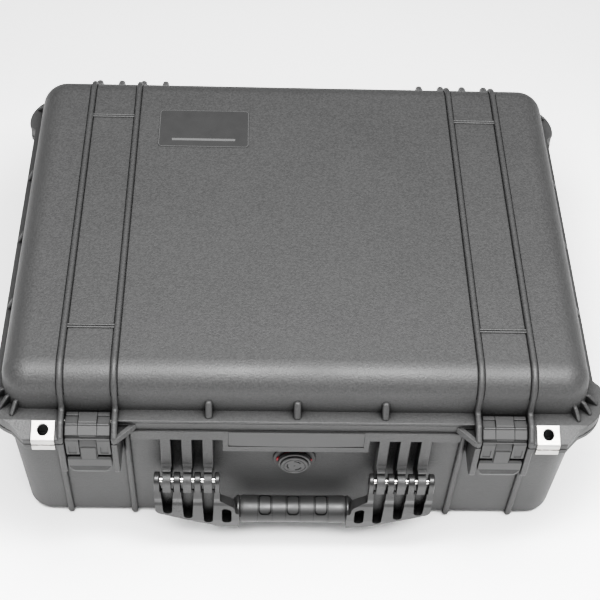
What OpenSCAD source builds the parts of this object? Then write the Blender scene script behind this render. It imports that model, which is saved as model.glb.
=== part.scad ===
// Hard protective equipment case: a moulded base and lid joined by two rear
// hinges, closed by two double-throw latches, with a fold-down front handle,
// stainless padlock protectors, a pressure vent and a foam lining.
// Millimetres, +Z up. The origin is on the floor under the middle of the case.
// The handle side faces -Y, the hinge side faces +Y, and "left" is -X.

/* [Overall] */
// Width over the four corner lobes
overall_w = 525; // [521:1:529]
// Height from the floor to the crest of the lid's ribs
overall_h = 213; // [210:1:216]
// Height of the parting line between base and lid
parting_z = 158; // [156:1:160]

/* [Shell walls] */
// Width of the walls at the parting line
body_w = 499; // [495:1:501]
// Depth of the walls at the parting line
body_d = 381; // [379:1:381]
// Wall thickness
wall_t = 6; // [5:0.5:7]
// Radius of the upright corners in plan
corner_r = 24; // [23:1:28]
// Radius of the lid's upper edge
lid_edge_r = 22; // [18:1:26]
// Radius of the base's lower edge
base_edge_r = 5; // [4:0.5:7]
// How far each lid wall leans in up to the edge radius
lid_lean = 2.6; // [1.5:0.1:3]
// How far each base wall leans in down to the edge radius
base_lean = 6; // [4:0.5:7]
// Gap between the floor and the moulded bottom, which the skid ribs fill
skid_h = 4.5; // [3:0.5:6]

/* [Flange] */
// Width of the flange between the corner lobes
flange_w = 512; // [510:1:514]
// Depth of the flange at the middle of front and back
flange_d = 402; // [401:1:403]
// Height of the lid's flange
lid_flange_h = 12.5; // [11:0.5:13]
// Height of the base's flange
base_flange_h = 6; // [5:0.5:7]
// Radius of the corner lobes
lobe_r = 36.5; // [35:0.5:38]
// Distance of the latch guards' front edge from the middle plane
guard_front = 216.5; // [215:0.5:218]
// Height of the band between the latches that carries the handle
band_h = 11.5; // [10:0.5:13]
// Distance of that band's front face from the middle plane
band_front = 203; // [202:0.5:204]

/* [Ribs] */
// Height of the lid's ribs above its panel
lid_rib_h = 3; // [2:0.5:4]
// Height of the base's ribs above its walls
base_rib_h = 3.5; // [2.5:0.5:4.5]
// Thickness of the base's ribs
base_rib_t = 5.6; // [4:0.2:7]
// Distance of the base's ribs from the middle of the latch
base_rib_offset = 29.3; // [28.5:0.1:30]

/* [Latches] */
// Distance of each latch from the middle plane
latch_x = 174.1; // [173:0.1:175]
// Clear width between the two guards of a latch
guard_gap = 39.2; // [39:0.1:40]
// Thickness of a guard and of a lid rib
guard_t = 5.2; // [4.5:0.1:6]
// Lowest point of the base's guards
guard_low_z = 113; // [108:1:118]
// Clearance between a latch and each guard
latch_side_gap = 0.8; // [0.4:0.1:1.2]
// Width of the lever's middle tongue
tongue_w = 14.4; // [13:0.2:16]
// Radius of the pin that holds the jaw on the lid
jaw_pin_r = 2; // [1.8:0.1:2.2]
// Radius of the pin that holds the lever in the jaw
lever_pin_r = 1.8; // [1.6:0.1:2]

/* [Handle] */
// Height of the handle's pins
handle_pin_z = 97.5; // [96:0.5:99]
// Distance of the handle's pins from the middle plane
handle_pin_y = 210.8; // [210.5:0.1:211.5]
// Radius of the handle's pins
handle_pin_r = 2.5; // [2.3:0.1:2.7]
// Distance of the first lug from the middle plane
lug_x = 75.2; // [74:0.1:76]
// Spacing of the lugs
lug_pitch = 17.9; // [17.5:0.1:18.2]
// Half of the handle's width over its outer fingers
handle_half_w = 122; // [121.5:0.5:123]
// Radius of the rubber grip
grip_r = 12.4; // [11.5:0.1:12.5]
// Half of the rubber grip's length
grip_half_w = 47; // [45:0.5:48]
// Height of the grip's axis
grip_z = 46.5; // [45:0.5:48]

/* [Hinges] */
// Distance of each hinge's middle from the middle plane
hinge_x = 163; // [162:0.5:164]
// Distance of the hinge axis behind the middle plane
hinge_y = 212.5; // [212:0.1:213]
// Outer radius of the knuckles
knuckle_r = 8; // [7:0.1:8]
// Spacing of neighbouring knuckles of one shell
knuckle_pitch = 22.2; // [21.8:0.1:22.6]
// Radius of the hinge pins
hinge_pin_r = 3; // [2.5:0.1:3.5]

/* [Padlock protectors] */
// Distance of the padlock holes from the middle plane
padlock_x = 210.5; // [210:0.5:212]
// Distance of the padlock holes in front of the middle plane
padlock_y = 209; // [207.5:0.5:209.5]
// Radius of the padlock holes in the steel clips
padlock_hole_r = 4.75; // [4:0.25:5]
// Width of the steel clips
clip_w = 19.6; // [18:0.2:21]
// Thickness of the steel clips
clip_t = 1.2; // [1:0.1:1.4]

/* [Pressure vent] */
// Height of the vent's axis
vent_z = 100; // [98:1:102]
// Outer radius of the vent's body
vent_r = 14.5; // [13.5:0.5:15.5]

/* [Name panel and label] */
// Width of the name panel
panel_w = 115.2; // [110:0.2:118]
// Height of the name panel
panel_h = 20.5; // [18:0.5:22]
// Width of the lid's label
label_w = 86; // [80:1:90]
// Depth of the lid's label
label_d = 51; // [45:1:55]

/* [Foam] */
// Thickness of the pad on the floor of the base
floor_pad_t = 20; // [15:1:25]
// Thickness of the foam wall that lines the base
liner_t = 30; // [25:1:40]
// Thickness of the pad in the lid
lid_pad_t = 42; // [36:1:42]

/* [Hidden] */

// Facets of a round hole or pin, and of the children of a hull
$fn = 48;
hull_fn = 32;
// Segments of an arc in an outline
arc_steps = 8;
// Overlap that makes a union or a cut complete
eps = 1;

// Running clearance of a pin in its bore, on the radius
pin_play = 0.06;
// Clearance between parts that lie next to each other
side_gap = 0.4;
// Rounding of the lever tab's lower corners
tab_corner_r = 8;

lid_top_z = overall_h - lid_rib_h;
lid_flange_z = parting_z + lid_flange_h;
base_flange_z = parting_z - base_flange_h;
band_z = parting_z - band_h;
floor_top_z = skid_h + wall_t - 1;

// Latch guards: distance of the middle of each guard from the middle plane
guard_xs = [latch_x - (guard_gap + guard_t) / 2, latch_x + (guard_gap + guard_t) / 2];
base_rib_xs = [latch_x - base_rib_offset, latch_x + base_rib_offset];
// Where a lid rib leaves the wall to become a latch guard
guard_top_z = lid_flange_z + 4;

// Corner lobes of the flange
lobe_x = overall_w / 2 - lobe_r;
front_lobe_y = 169;
rear_lobe_y = 163;
lobe_step = 5.4;
lobe_start_a = -70;
front_lobe_end_a = 16;
rear_lobe_start_a = -13;
rear_lobe_end_a = 80;
// Outer end of the padlock shelf, and inner end of the gusset beside the latch
shelf_end_x = 226.5;
gusset_x = 134.5;
// The padlock shelf slopes down to this height at its front edge
shelf_front_z = parting_z + 6;
shelf_slope = atan((lid_flange_z - shelf_front_z) / (guard_front - flange_d / 2));

// Webs that brace the lid's wall on its flange
web_t = 5;
web_h = 12;
front_web_xs = [-74, 0, 74];
side_web_ys = [-80, 0, 80];
corner_web_as = [22, 45, 68];
cross_ridge_ys = [-131.9, 128.4];
cross_ridge_t = 4;
cross_ridge_h = 1.4;

// Seal groove in the lid's rim
seal_out_inset = 2.5;
seal_w = 5;
seal_h = 3.4;

// Jaw: pivot on the lid, and its outline's main levels
jaw_y = -198.5;
jaw_z = parting_z + 8;
jaw_w = guard_gap - 2 * latch_side_gap;
jaw_front = guard_front - 1;
jaw_low_z = parting_z - 17.7;
lever_y = -209.5;
lever_z = parting_z + 2;
lever_front = guard_front - 0.6;
lever_low_z = guard_low_z + 1;
lever_tab_z = parting_z - 21.2;
tongue_gap = 0.4;

// Lugs and fingers of the handle
lug_xs = [for (i = [0 : 2]) lug_x + i * lug_pitch];
// Where the lugs and the guards start inside the sloping front wall
lug_root_y = -186;
guard_root_y = -body_d / 2 + 4;
lug_knuckle_w = 7.4;
lug_column_w = 8.8;
lug_low_z = handle_pin_z - 11.5;
finger_w = 5.2;
finger_r = 6.2;
strap_front = 220.5;
strap_t = 10;
strap_top_z = handle_pin_z - 12;
slot_w = 8.4;
// Material left between the end of a slot and the strap's lower edge
slot_land = 3;
strap_side_low_z = 58;
strap_mid_low_z = 38.4;
strap_mid_x = 64;
window_x = 58.9;
window_w = 8.6;
window_low_z = 40.6;
window_top_z = 69;
core_r = 8;
collar_r = 12.2;
collar_t = 5;
grip_y = -strap_front + grip_r + 0.1;
handle_inner_x = lug_x - lug_knuckle_w / 2 - side_gap - finger_w - 1;

// Knuckles of the hinges
lid_knuckle_w = 9.6;
base_knuckle_w = knuckle_pitch - lid_knuckle_w - 2 * side_gap;
hinge_half_w = 1.5 * knuckle_pitch + lid_knuckle_w / 2;
// Ears that tie the lid's knuckles to its rear wall
ear_t = 6.2;
ear_r = 12;
ear_top_z = lid_flange_z + 22;
// How far a part that is joined to a wall reaches into it
root = 3;

// Pressure vent, measured forward from its seat on the base
vent_seat = 190.5;
vent_seat_r = 18.5;
vent_shank_r = 9;
vent_seal_t = 1.6;
vent_body_t = 3.6;
vent_cap_t = 2;
vent_inner_y = -181.5;

panel_t = 1.6;
panel_frame = 4.6;
panel_frame_low = 7.6;
label_t = 0.5;
label_x = -87;
label_y = 112.6;

foam_gap = 1.5;
foam_corner_r = 18;

// ---------------------------------------------------------------- helpers

function arc(c, r, a0, a1, n = arc_steps) =
    [for (i = [0 : n]) let (a = a0 + (a1 - a0) * i / n) c + r * [cos(a), sin(a)]];

// Mirrors an outline's points about the vertical axis, in reverse order
function mirrored(pts) = [for (i = [len(pts) - 1 : -1 : 0]) [-pts[i].x, pts[i].y]];

// Half width of a wall at height z, from its value at the parting line
function base_half(half, z) =
    half - base_lean * (parting_z - z) / (parting_z - skid_h - base_edge_r);
function lid_half(half, z) =
    half - lid_lean * (z - parting_z) / (lid_top_z - lid_edge_r - parting_z);

module both_sides() {
    children();
    mirror([1, 0, 0]) children();
}

// A plate of thickness t, centred on x, from an outline drawn in Y and Z
module plate_x(x, t) {
    translate([x - t / 2, 0, 0]) rotate([90, 0, 90]) linear_extrude(t) children();
}

// A rod along X between x0 and x1
module rod_x(x0, x1, y, z, r) {
    translate([x0, y, z]) rotate([0, 90, 0]) cylinder(h = x1 - x0, r = r);
}

// A disc along Y, from y0 forward (towards -Y) by t
module disc_y(y0, t, r) {
    translate([0, y0, vent_z]) rotate([90, 0, 0]) cylinder(h = t, r = r);
}

module box(low, high) {
    translate(low) cube(high - low);
}

module rounded_rect(w, d, r) {
    square([w - 2 * r, d], center = true);
    square([w, d - 2 * r], center = true);
    for (sx = [-1, 1], sy = [-1, 1])
        translate([sx * (w / 2 - r), sy * (d / 2 - r)]) circle(r = r);
}

// A moulded tub: upright corners of radius cr, w by d at z0, leaning in by lean
// towards a rounded far end at z1, which lies above or below z0
module tub(w, d, z0, z1, cr, er, lean) {
    s = sign(z1 - z0);
    far_z = z1 - s * er;
    hull()
        for (sx = [-1, 1], sy = [-1, 1]) {
            translate([sx * (w / 2 - cr), sy * (d / 2 - cr), min(z0, z0 + s * eps)])
                cylinder(h = eps, r = cr, $fn = hull_fn);
            translate([sx * (w / 2 - lean - cr), sy * (d / 2 - lean - cr), far_z])
                rotate_extrude($fn = hull_fn)
                    translate([cr - er, 0])
                        intersection() {
                            circle(r = er, $fn = hull_fn);
                            translate([-(cr - er), -er]) square([cr, 2 * er]);
                        }
        }
}

// ------------------------------------------------------------- shell parts

// Plan outline of a flange, half of it: front to back along +X.
// front is the list of points before the front corner lobe
function flange_half(front) = concat(
    front,
    arc([lobe_x, -front_lobe_y], lobe_r, lobe_start_a, front_lobe_end_a),
    [[flange_w / 2, -front_lobe_y + lobe_r * sin(front_lobe_end_a) + lobe_step]],
    [[flange_w / 2, rear_lobe_y + lobe_r * sin(rear_lobe_start_a) - lobe_step]],
    arc([lobe_x, rear_lobe_y], lobe_r, rear_lobe_start_a, rear_lobe_end_a),
    [[lobe_x - 15, flange_d / 2], [0, flange_d / 2]]
);

lid_flange_front = [
    [0, -flange_d / 2], [gusset_x, -flange_d / 2],
    [guard_xs[0] - guard_t / 2, -guard_front], [shelf_end_x, -guard_front],
];
base_flange_front = [
    [0, -flange_d / 2], [guard_xs[1], -flange_d / 2],
    [guard_xs[1], -guard_front], [shelf_end_x, -guard_front],
];

module flange_outline(front) {
    half = flange_half(front);
    polygon(concat(half, mirrored(half)));
}

// Outline of a lid rib in Y and Z: over the lid, and out along the latch guard
module lid_rib_outline() {
    h = lid_rib_h;
    foot = body_d / 2 + h;
    far = body_d / 2 - lid_lean - lid_edge_r;
    r = lid_edge_r + h;
    top_c = lid_top_z - lid_edge_r;
    polygon(concat(
        [[-guard_front, parting_z], [-guard_front, parting_z + 7],
         [-guard_front + 2, parting_z + 9.5], [-flange_d / 2 - 4, guard_top_z],
         [-lid_half(foot, guard_top_z) - 3, guard_top_z + 1],
         [-lid_half(foot, guard_top_z), guard_top_z + 5]],
        arc([-far, top_c], r, 180, 90),
        arc([far, top_c], r, 90, 0),
        [[lid_half(foot, lid_flange_z), lid_flange_z], [flange_d / 2, lid_flange_z],
         [flange_d / 2, parting_z]]
    ));
}

// Outline of a base rib in Y and Z: down the front, under the floor, up the back
module base_rib_outline() {
    top = body_d / 2 + base_rib_h;
    r = base_edge_r + base_rib_h;
    low = base_half(top, r) - r;
    polygon(concat(
        [[-base_half(top, base_flange_z), base_flange_z]],
        arc([-low, r], r, 180, 270),
        arc([low, r], r, 270, 360),
        [[base_half(top, base_flange_z), base_flange_z]]
    ));
}

// Outline of a base latch guard in Y and Z
module base_guard_outline() {
    r = 6;
    polygon(concat(
        [[guard_root_y, parting_z], [-guard_front, parting_z]],
        arc([-guard_front + r, guard_low_z + r], r, 180, 270),
        [[guard_root_y, guard_low_z]]
    ));
}

// Knuckle of the lid's side of a hinge, in Y and Z
module lid_knuckle_outline() {
    translate([hinge_y, parting_z]) circle(r = knuckle_r);
    translate([body_d / 2 - root, parting_z])
        square([hinge_y - body_d / 2 + root, knuckle_r]);
}

// Ear that carries a lid knuckle and runs up into the lid's rear wall, in Y and Z
module lid_ear_outline() {
    back_y = hinge_y + knuckle_r - 0.5;
    polygon(concat(
        [[body_d / 2 - root, parting_z], [back_y, parting_z]],
        arc([back_y - ear_r, parting_z + ear_r], ear_r, 0, 70),
        [[body_d / 2 - root, ear_top_z]]
    ));
}

// Knuckle arm of the base's side of a hinge, in Y and Z
module base_knuckle_outline() {
    translate([hinge_y, parting_z]) circle(r = knuckle_r);
    polygon([
        [body_d / 2 - root, parting_z], [hinge_y, parting_z],
        [hinge_y, parting_z - knuckle_r], [body_d / 2 + 6, parting_z - 2 * knuckle_r],
        [body_d / 2 - root, parting_z - 30],
    ]);
}

// Outline of one lug of the handle mount, in Y and Z: the column under the band
module lug_column_outline() {
    polygon([
        [lug_root_y, band_z + eps], [-band_front, band_z + eps],
        [-band_front, handle_pin_z + 6], [lug_root_y, handle_pin_z - 20],
    ]);
}

// The ledge and the knuckle that stand out from a lug's column
module lug_knuckle_outline() {
    ledge_y = -handle_pin_y + 5;
    translate([-handle_pin_y, handle_pin_z]) circle(r = finger_r - 0.4);
    polygon([
        [lug_root_y, handle_pin_z + 7.5], [ledge_y, handle_pin_z + 7.5], [ledge_y, handle_pin_z],
        [-handle_pin_y - finger_r + 0.4, handle_pin_z],
        [-handle_pin_y - finger_r + 0.4, lug_low_z], [-band_front, lug_low_z],
        [lug_root_y, handle_pin_z - 24],
    ]);
}

module lugs() {
    for (x = lug_xs) {
        plate_x(x, lug_column_w) lug_column_outline();
        plate_x(x, lug_knuckle_w) lug_knuckle_outline();
    }
}

module hinge_knuckles(count, w) {
    for (i = [0 : count - 1])
        plate_x(hinge_x + (i - (count - 1) / 2) * knuckle_pitch, w) children();
}

// The bore for a hinge pin, right through a hinge's knuckles
module hinge_bore(r) {
    half = hinge_half_w + eps;
    rod_x(hinge_x - half, hinge_x + half, hinge_y, parting_z, r);
}

// The notch in both shells behind the padlock hole, open to the front, where the
// steel clips cover it
module padlock_notch() {
    half = padlock_hole_r + 0.75;
    box([padlock_x - half, -guard_front - eps, base_flange_z - eps],
        [padlock_x + half, -padlock_y + half, lid_flange_z + eps]);
}

module base_shell() {
    color("dimgray")
        difference() {
            union() {
                tub(body_w, body_d, parting_z, skid_h, corner_r, base_edge_r, base_lean);
                translate([0, 0, base_flange_z])
                    linear_extrude(base_flange_h) flange_outline(base_flange_front);
                base_band();
                both_sides() {
                    for (x = base_rib_xs) plate_x(x, base_rib_t) base_rib_outline();
                    for (x = guard_xs) plate_x(x, guard_t) base_guard_outline();
                    lugs();
                    hinge_knuckles(3, base_knuckle_w) base_knuckle_outline();
                }
                disc_y(-body_d / 2 + 8, vent_seat - body_d / 2 + 8, vent_seat_r);
            }
            base_cavity();
            disc_y(-body_d / 2 + 20, 40, vent_shank_r + side_gap / 2);
            both_sides() {
                padlock_notch();
                rod_x(lug_x - lug_pitch, handle_half_w + 5, -handle_pin_y, handle_pin_z,
                      handle_pin_r + pin_play);
                hinge_bore(hinge_pin_r);
            }
        }
}

// The band under the parting line between the latches, with the name panel's frame
module base_band() {
    inner_guard = guard_xs[0] - guard_t / 2;
    frame_w = panel_w + 2 * panel_frame;
    difference() {
        union() {
            box([-inner_guard + 10, -band_front, band_z],
                [inner_guard - 10, -body_d / 2 + 3, parting_z]);
            box([-frame_w / 2, -band_front, parting_z - panel_h - panel_frame_low],
                [frame_w / 2, -body_d / 2 + 5, parting_z]);
        }
        box([-panel_w / 2 - side_gap / 2, -band_front - eps, parting_z - panel_h - side_gap / 2],
            [panel_w / 2 + side_gap / 2, -band_front + panel_t, parting_z + eps]);
    }
}

module base_cavity() {
    inner_r = corner_r - wall_t;
    tub(body_w - 2 * wall_t, body_d - 2 * wall_t, parting_z + eps, floor_top_z,
        inner_r, base_edge_r - 3, base_lean);
}

module lid_shell() {
    color("dimgray")
        difference() {
            union() {
                tub(body_w, body_d, parting_z, lid_top_z, corner_r, lid_edge_r, lid_lean);
                lid_flange();
                lid_webs();
                both_sides() {
                    for (x = guard_xs) plate_x(x, guard_t) lid_rib_outline();
                    hinge_knuckles(4, lid_knuckle_w) lid_knuckle_outline();
                    hinge_knuckles(4, ear_t) lid_ear_outline();
                    cross_ridges();
                }
            }
            tub(body_w - 2 * wall_t, body_d - 2 * wall_t, parting_z - eps,
                lid_top_z - wall_t, corner_r - wall_t, lid_edge_r - wall_t, lid_lean);
            seal_groove();
            both_sides() {
                padlock_notch();
                hinge_bore(hinge_pin_r + pin_play);
                rod_x(guard_xs[0], guard_xs[1], jaw_y, jaw_z, jaw_pin_r);
            }
        }
}

module lid_flange() {
    latch_bay = guard_gap / 2;
    difference() {
        translate([0, 0, parting_z])
            linear_extrude(lid_flange_h) flange_outline(lid_flange_front);
        // The shelf in front of the flange slopes down to the padlock clips
        translate([-overall_w / 2, -flange_d / 2, lid_flange_z])
            rotate([shelf_slope, 0, 0]) translate([0, -40, 0]) cube([overall_w, 40, 20]);
        // The latch fills the space between its guards
        both_sides()
            box([latch_x - latch_bay, -guard_front - eps, parting_z - eps],
                [latch_x + latch_bay, -body_d / 2 + eps, lid_flange_z + eps]);
    }
}

// A triangular web in Y and Z that braces the lid's front wall
module web_outline(depth, h) {
    polygon([[-depth, 0], [4, 0], [4, h], [0, h], [-depth, 2]]);
}

module lid_webs() {
    ledge_front = (flange_d - body_d) / 2;
    ledge_side = (flange_w - body_w) / 2;
    for (x = front_web_xs)
        translate([0, -body_d / 2, lid_flange_z - eps])
            plate_x(x, web_t) web_outline(ledge_front - 3, web_h);
    both_sides() {
        for (y = side_web_ys)
            translate([body_w / 2, y, lid_flange_z - eps])
                rotate([0, 0, 90]) plate_x(0, web_t) web_outline(ledge_side - 1, web_h);
        for (a = corner_web_as, sy = [-1, 1])
            translate([body_w / 2 - corner_r, sy * (body_d / 2 - corner_r), lid_flange_z - eps])
                rotate([0, 0, 90 + sy * a])
                    translate([0, -corner_r, 0]) plate_x(0, web_t - 1.5) web_outline(11, web_h);
    }
}

module cross_ridges() {
    for (y = cross_ridge_ys)
        box([guard_xs[0], y - cross_ridge_t / 2, lid_top_z - eps],
            [guard_xs[1], y + cross_ridge_t / 2, lid_top_z + cross_ridge_h]);
}

module seal_ring(h) {
    w = body_w - 2 * seal_out_inset;
    d = body_d - 2 * seal_out_inset;
    r = corner_r - seal_out_inset;
    linear_extrude(h)
        difference() {
            rounded_rect(w, d, r);
            rounded_rect(w - 2 * seal_w, d - 2 * seal_w, r - seal_w);
        }
}

module seal_groove() {
    translate([0, 0, parting_z - eps]) seal_ring(seal_h + eps);
}

module lid_seal() {
    color("black") translate([0, 0, parting_z]) seal_ring(seal_h);
}

// -------------------------------------------------------- padlock clips

// The lid's clip in Y and Z: along the sloped shelf and down its front edge
module lid_clip_outline() {
    rise = tan(shelf_slope);
    n = clip_t * [-sin(shelf_slope), cos(shelf_slope)];
    back = [-flange_d / 2, lid_flange_z];
    front_y = -guard_front - clip_t;
    low_z = parting_z + side_gap / 2;
    polygon([
        back, [-guard_front, shelf_front_z], [-guard_front, low_z], [front_y, low_z],
        [front_y, back.y + n.y + (front_y - back.x - n.x) * rise], back + n,
    ]);
}

// The base's clip in Y and Z: down the front edge and under the shelf
module base_clip_outline() {
    top_z = parting_z - side_gap / 2;
    polygon([
        [-guard_front - clip_t, top_z], [-guard_front, top_z],
        [-guard_front, base_flange_z], [-flange_d / 2, base_flange_z],
        [-flange_d / 2, base_flange_z - clip_t], [-guard_front - clip_t, base_flange_z - clip_t],
    ]);
}

module clip() {
    color("silver")
        difference() {
            plate_x(padlock_x, clip_w) children();
            translate([padlock_x, -padlock_y, base_flange_z - 5])
                cylinder(h = lid_flange_h + base_flange_h + 10, r = padlock_hole_r);
        }
}

module lid_clip_right() { clip() lid_clip_outline(); }
module lid_clip_left() { mirror([1, 0, 0]) lid_clip_right(); }
module base_clip_right() { clip() base_clip_outline(); }
module base_clip_left() { mirror([1, 0, 0]) base_clip_right(); }

// --------------------------------------------------------------- latches

module jaw_outline() {
    polygon([
        [jaw_y + 6, jaw_z - 4], [jaw_y + 7, jaw_z], [jaw_y + 7, jaw_z + 4.2],
        [jaw_y + 5.6, jaw_z + 6], [jaw_y - 5, jaw_z + 6], [jaw_y - 6.5, jaw_z + 5.4],
        [-jaw_front + 1.2, jaw_z - 2.5], [-jaw_front, jaw_z - 4.5],
        [-jaw_front, jaw_low_z + 1], [-jaw_front + 1, jaw_low_z], [jaw_y - 4.5, jaw_low_z],
        [jaw_y - 3.3, jaw_low_z + 1.5], [jaw_y - 3.3, jaw_low_z + 8.5],
        [jaw_y - 4.5, jaw_low_z + 10], [jaw_y - 4.5, parting_z + 1], [jaw_y - 1.5, parting_z + 2],
    ]);
}

module latch_jaw_right() {
    slot = tongue_w / 2 + tongue_gap;
    color("darkslategray")
        difference() {
            plate_x(latch_x, jaw_w) jaw_outline();
            box([latch_x - slot, -jaw_front - eps, jaw_low_z - eps],
                [latch_x + slot, jaw_y - 5.1, jaw_z - 0.2]);
            rod_x(latch_x - jaw_w, latch_x + jaw_w, jaw_y, jaw_z, jaw_pin_r + pin_play);
            rod_x(latch_x - jaw_w, latch_x + jaw_w, lever_y, lever_z, lever_pin_r);
        }
}
module latch_jaw_left() { mirror([1, 0, 0]) latch_jaw_right(); }

module lever_tongue_outline() {
    head_r = 5;
    translate([lever_y, lever_z]) circle(r = head_r);
    polygon([
        [lever_y + head_r, lever_z], [lever_y - head_r, lever_z],
        [-lever_front, lever_z - 6], [-lever_front, lever_low_z],
        [lever_y + 2, lever_low_z + 2],
    ]);
}

module lever_tab_outline() {
    polygon([
        [-lever_front, lever_tab_z - 2], [-lever_front + 1.5, lever_tab_z],
        [-lever_front + 7, lever_tab_z], [-lever_front + 7, lever_low_z + 4],
        [-lever_front + 3, lever_low_z], [-lever_front, lever_low_z],
    ]);
}

// Front view of the pull tab in X and Z, with its lower corners rounded
module lever_tab_front(half) {
    hull() {
        for (s = [-1, 1])
            translate([s * (half - tab_corner_r), lever_low_z + tab_corner_r])
                circle(r = tab_corner_r);
        translate([-half, lever_tab_z - 1]) square([2 * half, 2]);
    }
}

module lever_tab() {
    tab_w = jaw_w - 1;
    intersection() {
        plate_x(latch_x, tab_w) lever_tab_outline();
        translate([latch_x, 0, 0]) rotate([90, 0, 0])
            linear_extrude(guard_front + eps) lever_tab_front(tab_w / 2);
    }
}

module latch_lever_right() {
    color("darkslategray")
        difference() {
            union() {
                plate_x(latch_x, tongue_w) lever_tongue_outline();
                lever_tab();
            }
            rod_x(latch_x - tongue_w, latch_x + tongue_w, lever_y, lever_z,
                  lever_pin_r + pin_play);
        }
}
module latch_lever_left() { mirror([1, 0, 0]) latch_lever_right(); }

module jaw_pin_right() {
    color("silver") rod_x(guard_xs[0], guard_xs[1], jaw_y, jaw_z, jaw_pin_r);
}
module jaw_pin_left() { mirror([1, 0, 0]) jaw_pin_right(); }

module lever_pin_right() {
    color("silver")
        rod_x(latch_x - jaw_w / 2, latch_x + jaw_w / 2, lever_y, lever_z, lever_pin_r);
}
module lever_pin_left() { mirror([1, 0, 0]) lever_pin_right(); }

module hinge_pin_right() {
    color("silver")
        rod_x(hinge_x - hinge_half_w, hinge_x + hinge_half_w, hinge_y, parting_z, hinge_pin_r);
}
module hinge_pin_left() { mirror([1, 0, 0]) hinge_pin_right(); }

// ---------------------------------------------------------------- handle

// Height of the strap's sloping lower edge at x
function strap_low(x) = strap_mid_low_z
    + (strap_side_low_z - strap_mid_low_z) * (x - strap_mid_x) / (handle_half_w - strap_mid_x);

// Front outline of the handle's strap in X and Z, half of it
module strap_half() {
    r = 6;
    polygon(concat(
        [[0, strap_mid_low_z], [strap_mid_x, strap_mid_low_z]],
        arc([handle_half_w - r, strap_side_low_z + r], r, 290, 360),
        [[handle_half_w, strap_top_z], [handle_inner_x, strap_top_z],
         [handle_inner_x, window_top_z + 5], [grip_half_w + collar_t + 1, window_top_z - 3],
         [grip_half_w + collar_t - 1, strap_mid_low_z + 16], [0, strap_mid_low_z + 16]]
    ));
}

// A slot in X and Z with a round lower end, open at the top
module slot(x, low_z, top_z, w) {
    translate([x, low_z + w / 2]) circle(r = w / 2);
    translate([x - w / 2, low_z + w / 2]) square([w, top_z - low_z - w / 2]);
}

module strap_outline() {
    difference() {
        strap_half();
        for (x = lug_xs) slot(x, strap_low(x) + slot_land, strap_top_z + eps, slot_w);
        slot(window_x, window_low_z, window_top_z - 3, window_w);
    }
}

// The fingers that hold the pin between and beside the lugs
module fingers() {
    gap = lug_knuckle_w / 2 + side_gap * 6;
    half = lug_pitch / 2;
    spans = [
        [handle_inner_x, lug_x - gap],
        for (i = [0 : 1]) [lug_xs[i] + gap, lug_xs[i + 1] - gap],
        [lug_xs[2] + gap, handle_half_w],
    ];
    for (s = spans) {
        rod_x(s[0], s[1], -handle_pin_y, handle_pin_z, finger_r);
        box([s[0], -strap_front + 2.3, strap_top_z - eps],
            [s[1], -strap_front + 2.3 + strap_t - 1, handle_pin_z]);
    }
}

module handle_frame() {
    color("black")
        difference() {
            union() {
                rod_x(-grip_half_w - collar_t, grip_half_w + collar_t, grip_y, grip_z, core_r);
                both_sides() {
                    difference() {
                        translate([0, -strap_front + strap_t, 0])
                            rotate([90, 0, 0]) linear_extrude(strap_t) strap_outline();
                        // The strap gives way to the round grip in the middle
                        box([-eps, -strap_front - eps, 0], [grip_half_w + 1, 0, 100]);
                    }
                    rod_x(grip_half_w, grip_half_w + collar_t, grip_y, grip_z, collar_r);
                    fingers();
                }
            }
            both_sides()
                rod_x(handle_inner_x - eps, handle_half_w + eps, -handle_pin_y, handle_pin_z,
                      handle_pin_r);
        }
}

module handle_grip() {
    color("darkslategray")
        difference() {
            rod_x(-grip_half_w, grip_half_w, grip_y, grip_z, grip_r);
            rod_x(-grip_half_w - eps, grip_half_w + eps, grip_y, grip_z, core_r);
        }
}

module handle_pin_right() {
    color("silver")
        rod_x(handle_inner_x + 1, handle_half_w - 1, -handle_pin_y, handle_pin_z, handle_pin_r);
}
module handle_pin_left() { mirror([1, 0, 0]) handle_pin_right(); }

// ------------------------------------------------------------------ vent

vent_body_back = -vent_seat - vent_seal_t;
vent_body_front = vent_body_back - vent_body_t;
vent_bore_r = 5.5;

module vent_body() {
    color("dimgray")
        difference() {
            union() {
                disc_y(vent_body_back, vent_body_t, vent_r);
                disc_y(vent_inner_y + 3, -vent_body_back + vent_inner_y + 3 + eps, vent_shank_r);
            }
            disc_y(vent_inner_y + 4, 30, vent_bore_r);
        }
}

// The cap: a disc with a round rib and a low centre, vented at its edge
module vent_cap() {
    color("dimgray")
        difference() {
            disc_y(vent_body_front, vent_cap_t, vent_r - 2.5);
            for (a = [90 : 120 : 330])
                translate([0, vent_body_front + eps, vent_z])
                    rotate([0, a, 0]) translate([0, 0, 7])
                        cube([5, 2 * (vent_cap_t + eps) + eps, 1.6], center = true);
        }
}

module vent_seal() {
    color("red")
        difference() {
            disc_y(-vent_seat, vent_seal_t, vent_r + 0.8);
            disc_y(-vent_seat + eps, vent_seal_t + 2 * eps, vent_shank_r + side_gap);
        }
}

module vent_nut() {
    color("dimgray")
        difference() {
            translate([0, vent_inner_y, vent_z])
                rotate([-90, 0, 0]) cylinder(h = 3, r = 13, $fn = 6);
            disc_y(vent_inner_y + 4, 6, vent_shank_r);
        }
}

module vent_membrane() {
    color("white") disc_y(vent_body_front + 1.2, 0.8, vent_bore_r);
}

// ------------------------------------------------------ panel and label

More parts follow.
